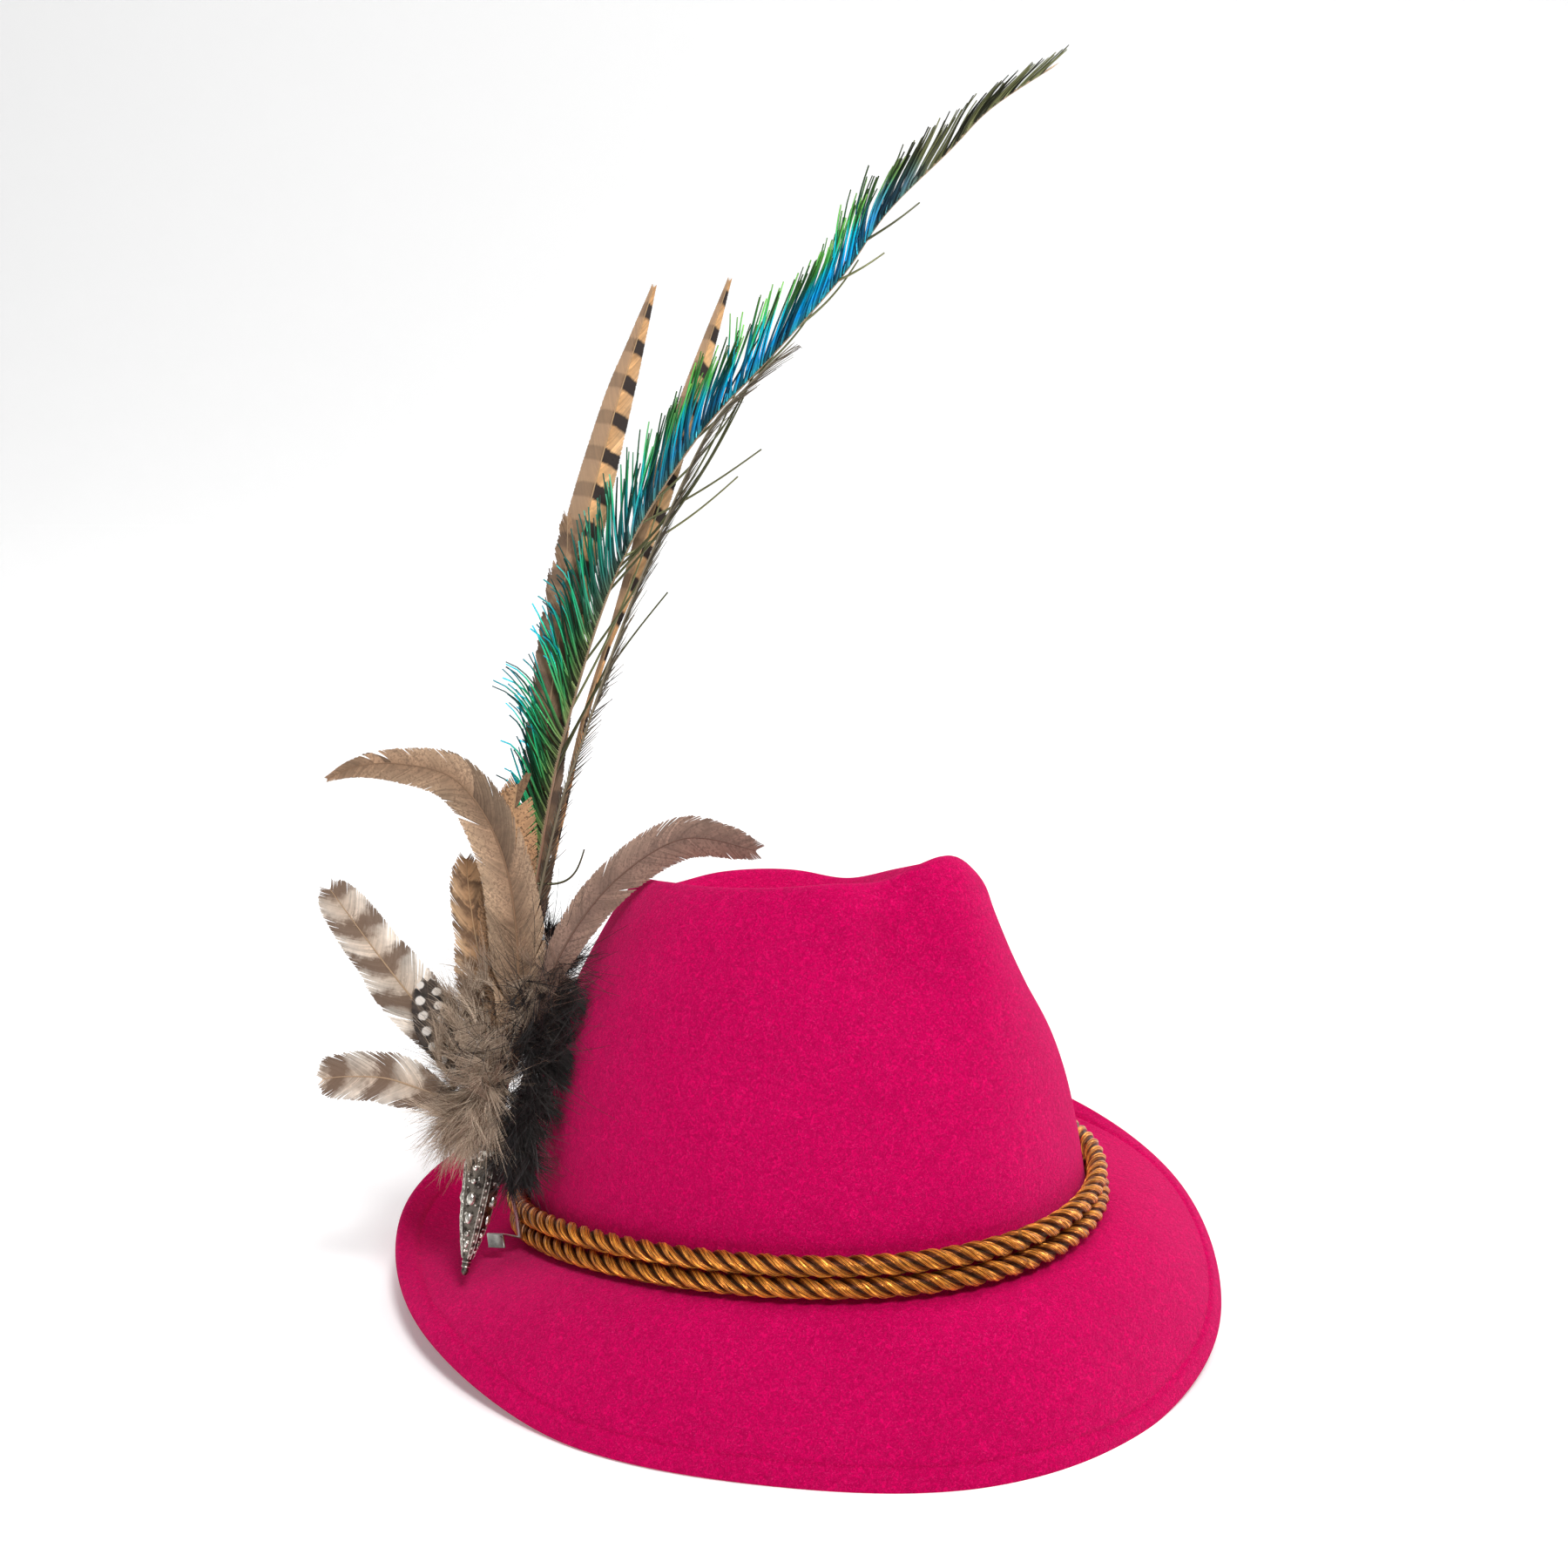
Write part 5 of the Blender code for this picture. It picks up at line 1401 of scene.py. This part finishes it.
def add_patches(shell, source, patches, count, width, clump, steps=7):
    """Add flat hairs in clumps that grow from each patch's root line."""
    share = np.linspace(0.0, 1.0, steps)
    for patch in patches:
        amount = int(count * patch.share)
        clumps = max(amount // clump, 1)
        owner = source.integers(0, clumps, amount)
        line = source.random(clumps)[:, None]
        roots = np.asarray(patch.start) + (np.asarray(patch.end) - np.asarray(patch.start)) * line
        roots = roots + source.normal(0.0, patch.scatter, (clumps, 3)) * (1.0, 1.0, 0.5)
        ways = unit(unit(patch.way) + source.normal(0.0, patch.fan, (clumps, 3)) * (1.0, 1.0, 0.5))
        curls = unit(source.normal(0.0, 1.0, (clumps, 3)) * (1.0, 1.0, 0.4)) * patch.curl
        start = roots[owner] + source.normal(0.0, 0.35, (amount, 3))
        way = unit(ways[owner] + source.normal(0.0, 0.16, (amount, 3)))
        curl = curls[owner] + source.normal(0.0, 0.18, (amount, 3))
        size = patch.length * source.uniform(0.35, 1.0, amount)[:, None]
        path = (start[:, None, :] + way[:, None, :] * (size * share)[..., None]
                + curl[:, None, :] * (size * share ** 2)[..., None])
        shape = path.shape
        path = plume_points(path.reshape(-1, 3)).reshape(shape)
        wide = width * (1.0 - 0.75 * share)[None, :] * source.uniform(0.6, 1.2, amount)[:, None]
        light = 0.5 + 0.25 * source.normal(size=clumps)[owner] + 0.15 * source.normal(size=amount)
        light = np.clip(light, 0.0, 1.0)
        add_ribbons(shell, path, wide, source.uniform(-0.9, 0.9, amount), light)


def build_fur():
    """Black fur toward the crown, and grey down toward the viewer."""
    source = np.random.default_rng(7)
    dark = Shell()
    add_patches(dark, source, DARK_PATCHES, 12000, 0.00030, 45)
    add_patches(dark, source, LONG_PATCHES, 420, 0.00030, 2, 12)
    black = plain_strands("black_hair", (0.004, 0.0035, 0.004), (0.030, 0.024, 0.022), 0.5)
    fur = dark.piece("black_fur_hairs", black, "black_fur", ("black_fur",))
    pale = Shell()
    add_patches(pale, source, PALE_PATCHES, 10500, 0.00021, 38)
    soft = plain_strands("grey_down", (0.13, 0.075, 0.042), (0.74, 0.58, 0.44), 0.8)
    down = pale.piece("grey_down_hairs", soft, "grey_fluff", ("grey_fluff",))
    return fur, down


# Stage

def build_stage():
    """Plain pale floor with a curved backdrop, soft lights and the camera."""
    side = unit(TURN @ np.array(CAMERA_RIGHT))
    away = np.cross(np.array((0.0, 0.0, 1.0)), side)
    profile = [(-7.0, 0.0), (1.2, 0.0)]
    for turned in np.radians(np.linspace(-90.0, 0.0, 13)):
        profile.append((1.2 + 0.9 * math.cos(turned), 0.9 + 0.9 * math.sin(turned)))
    profile.append((2.1, 3.4))
    points = []
    for run, height in profile:
        for width in (-8.0, 8.0):
            points.append(away * run + side * width + np.array((0.0, 0.0, height)))
    faces = grid_faces(len(profile), 2).tolist()
    mesh = bpy.data.meshes.new("studio_floor")
    mesh.from_pydata([tuple(point) for point in points], [], faces)
    mesh.shade_smooth()
    floor = bpy.data.objects.new("studio_floor", mesh)
    bpy.context.scene.collection.objects.link(floor)
    material, _, _ = new_material("pale_paper", Base_Color=(0.92, 0.92, 0.92, 1.0), Roughness=0.95,
                                  Specular_IOR_Level=0.05, Emission_Color=(1.0, 1.0, 1.0, 1.0),
                                  Emission_Strength=0.17)
    mesh.materials.append(material)
    world = bpy.data.worlds.new("studio_light")
    world.use_nodes = True
    world.node_tree.nodes["Background"].inputs["Color"].default_value = (1.0, 1.0, 1.0, 1.0)
    world.node_tree.nodes["Background"].inputs["Strength"].default_value = 0.18
    bpy.context.scene.world = world
    bpy.context.scene.view_settings.view_transform = "Standard"
    up = np.array((0.0, 0.0, 1.0))
    for name, place, size, power in (
            ("key_light", side * 0.3 - away * 1.2 + up * 1.7, 0.5, 25.0),
            ("fill_light", -side * 1.4 - away * 1.1 + up * 0.7, 1.0, 2.5),
            ("rim_light", side * 1.6 + away * 0.8 + up * 0.8, 0.8, 17.0),
            ("back_light", away * 1.5 + up * 1.5, 0.9, 4.0),
            ("top_light", -away * 0.1 + up * 1.9, 1.1, 11.0)):
        data = bpy.data.lights.new(name, "AREA")
        data.shape = "DISK"
        data.size = size
        data.energy = power
        light = bpy.data.objects.new(name, data)
        bpy.context.scene.collection.objects.link(light)
        light.location = place
        aim = np.array((0.0, 0.0, 0.12)) - place
        light.rotation_mode = "QUATERNION"
        light.rotation_quaternion = Vector(aim.tolist()).to_track_quat("-Z", "Y")
    data = bpy.data.cameras.new("photo_camera")
    data.lens = CAMERA_LENS
    data.sensor_width = SENSOR_WIDTH
    data.clip_end = 20.0
    camera = bpy.data.objects.new("photo_camera", data)
    bpy.context.scene.collection.objects.link(camera)
    axes = np.stack([TURN @ unit(axis) for axis in (CAMERA_RIGHT, CAMERA_UP, CAMERA_BACK)], axis=1)
    matrix = np.eye(4)
    matrix[:3, :3] = axes
    matrix[:3, 3] = to_world(np.array([CAMERA_PLACE]))[0]
    camera.matrix_world = Matrix(matrix.tolist())
    bpy.context.scene.camera = camera


# Add-on

class HatSizes(bpy.types.PropertyGroup):
    """Sizes of the dressed hat that a user would change."""

    felt_thickness: bpy.props.FloatProperty(name="Felt Thickness", description="Thickness of the felt wall",
                                            default=FELT, unit="LENGTH")
    hem_rise: bpy.props.FloatProperty(name="Hem Rise", description="How far the turned hem stands proud",
                                      default=0.0006, unit="LENGTH")
    cord_lay: bpy.props.FloatProperty(name="Cord Lay",
                                      description="Length of one full turn of a cord's strands",
                                      default=0.0212, unit="LENGTH")


class HatColours(bpy.types.PropertyGroup):
    """Colours of the dressed hat that a user would change."""

    felt: bpy.props.FloatVectorProperty(name="Felt", description="Colour of the felt", subtype="COLOR",
                                        default=(0.58, 0.0012, 0.092))
    felt_light: bpy.props.FloatVectorProperty(name="Loose Fibres", description="Colour of the lighter fibres",
                                              subtype="COLOR", default=(0.88, 0.045, 0.25))
    cord: bpy.props.FloatVectorProperty(name="Cord", description="Colour of the satin cords", subtype="COLOR",
                                        default=(0.80, 0.27, 0.036))


class HAT_OT_felt(bpy.types.Operator):
    """Build the felt crown and brim."""

    bl_idname = "hat.felt"
    bl_label = "Felt Body"

    def execute(self, context):
        build_felt(context.scene.hat_sizes, context.scene.hat_colours)
        return {"FINISHED"}


class HAT_OT_cords(bpy.types.Operator):
    """Build the two twisted cords."""

    bl_idname = "hat.cords"
    bl_label = "Cords"

    def execute(self, context):
        sizes = context.scene.hat_sizes
        colours = context.scene.hat_colours
        build_cord("lower_twisted_cord", "lower_cord", 0, sizes, colours, 0.0)
        build_cord("upper_twisted_cord", "upper_cord", 1, sizes, colours, 1.1)
        return {"FINISHED"}


class HAT_OT_holder(bpy.types.Operator):
    """Build the silver holder and its clip."""

    bl_idname = "hat.holder"
    bl_label = "Feather Holder"

    def execute(self, context):
        build_holder()
        build_clip()
        return {"FINISHED"}


class HAT_OT_feathers(bpy.types.Operator):
    """Build the pheasant tails, hackles and small body feathers."""

    bl_idname = "hat.feathers"
    bl_label = "Feathers"

    def execute(self, context):
        for number, feather in enumerate(FEATHERS):
            build_feather(feather, number)
        return {"FINISHED"}


class HAT_OT_peacock(bpy.types.Operator):
    """Build the peacock sword and the second stem."""

    bl_idname = "hat.peacock"
    bl_label = "Peacock Sword"

    def execute(self, context):
        build_sword()
        build_side_stem()
        return {"FINISHED"}


class HAT_OT_fur(bpy.types.Operator):
    """Build the black fur and the grey down."""

    bl_idname = "hat.fur"
    bl_label = "Fur and Down"

    def execute(self, context):
        build_fur()
        return {"FINISHED"}


class HAT_OT_stage(bpy.types.Operator):
    """Build the floor, the lights and the camera."""

    bl_idname = "hat.stage"
    bl_label = "Stage"

    def execute(self, context):
        build_stage()
        return {"FINISHED"}


OPERATORS = (HAT_OT_felt, HAT_OT_cords, HAT_OT_holder, HAT_OT_feathers, HAT_OT_peacock, HAT_OT_fur,
             HAT_OT_stage)


class HAT_PT_panel(bpy.types.Panel):
    """Sizes, colours and pieces of the hat."""

    bl_idname = "HAT_PT_panel"
    bl_label = "Tyrolean Hat"
    bl_space_type = "VIEW_3D"
    bl_region_type = "UI"
    bl_category = "Tyrolean Hat"

    def draw(self, context):
        layout = self.layout
        for group in (context.scene.hat_sizes, context.scene.hat_colours):
            for name in group.bl_rna.properties.keys():
                if name not in ("rna_type", "name"):
                    layout.prop(group, name)
        for operator in OPERATORS:
            layout.operator(operator.bl_idname)


CLASSES = (HatSizes, HatColours, *OPERATORS, HAT_PT_panel)


def register():
    """Register the classes and their scene properties."""
    for item in CLASSES:
        bpy.utils.register_class(item)
    bpy.types.Scene.hat_sizes = bpy.props.PointerProperty(type=HatSizes)
    bpy.types.Scene.hat_colours = bpy.props.PointerProperty(type=HatColours)


def unregister():
    """Remove the classes and their scene properties."""
    del bpy.types.Scene.hat_colours
    del bpy.types.Scene.hat_sizes
    for item in reversed(CLASSES):
        bpy.utils.unregister_class(item)


def main():
    """Build the whole dressed hat."""
    register()
    for operator in OPERATORS:
        group, name = operator.bl_idname.split(".")
        getattr(getattr(bpy.ops, group), name)()


if __name__ == "__main__":
    main()
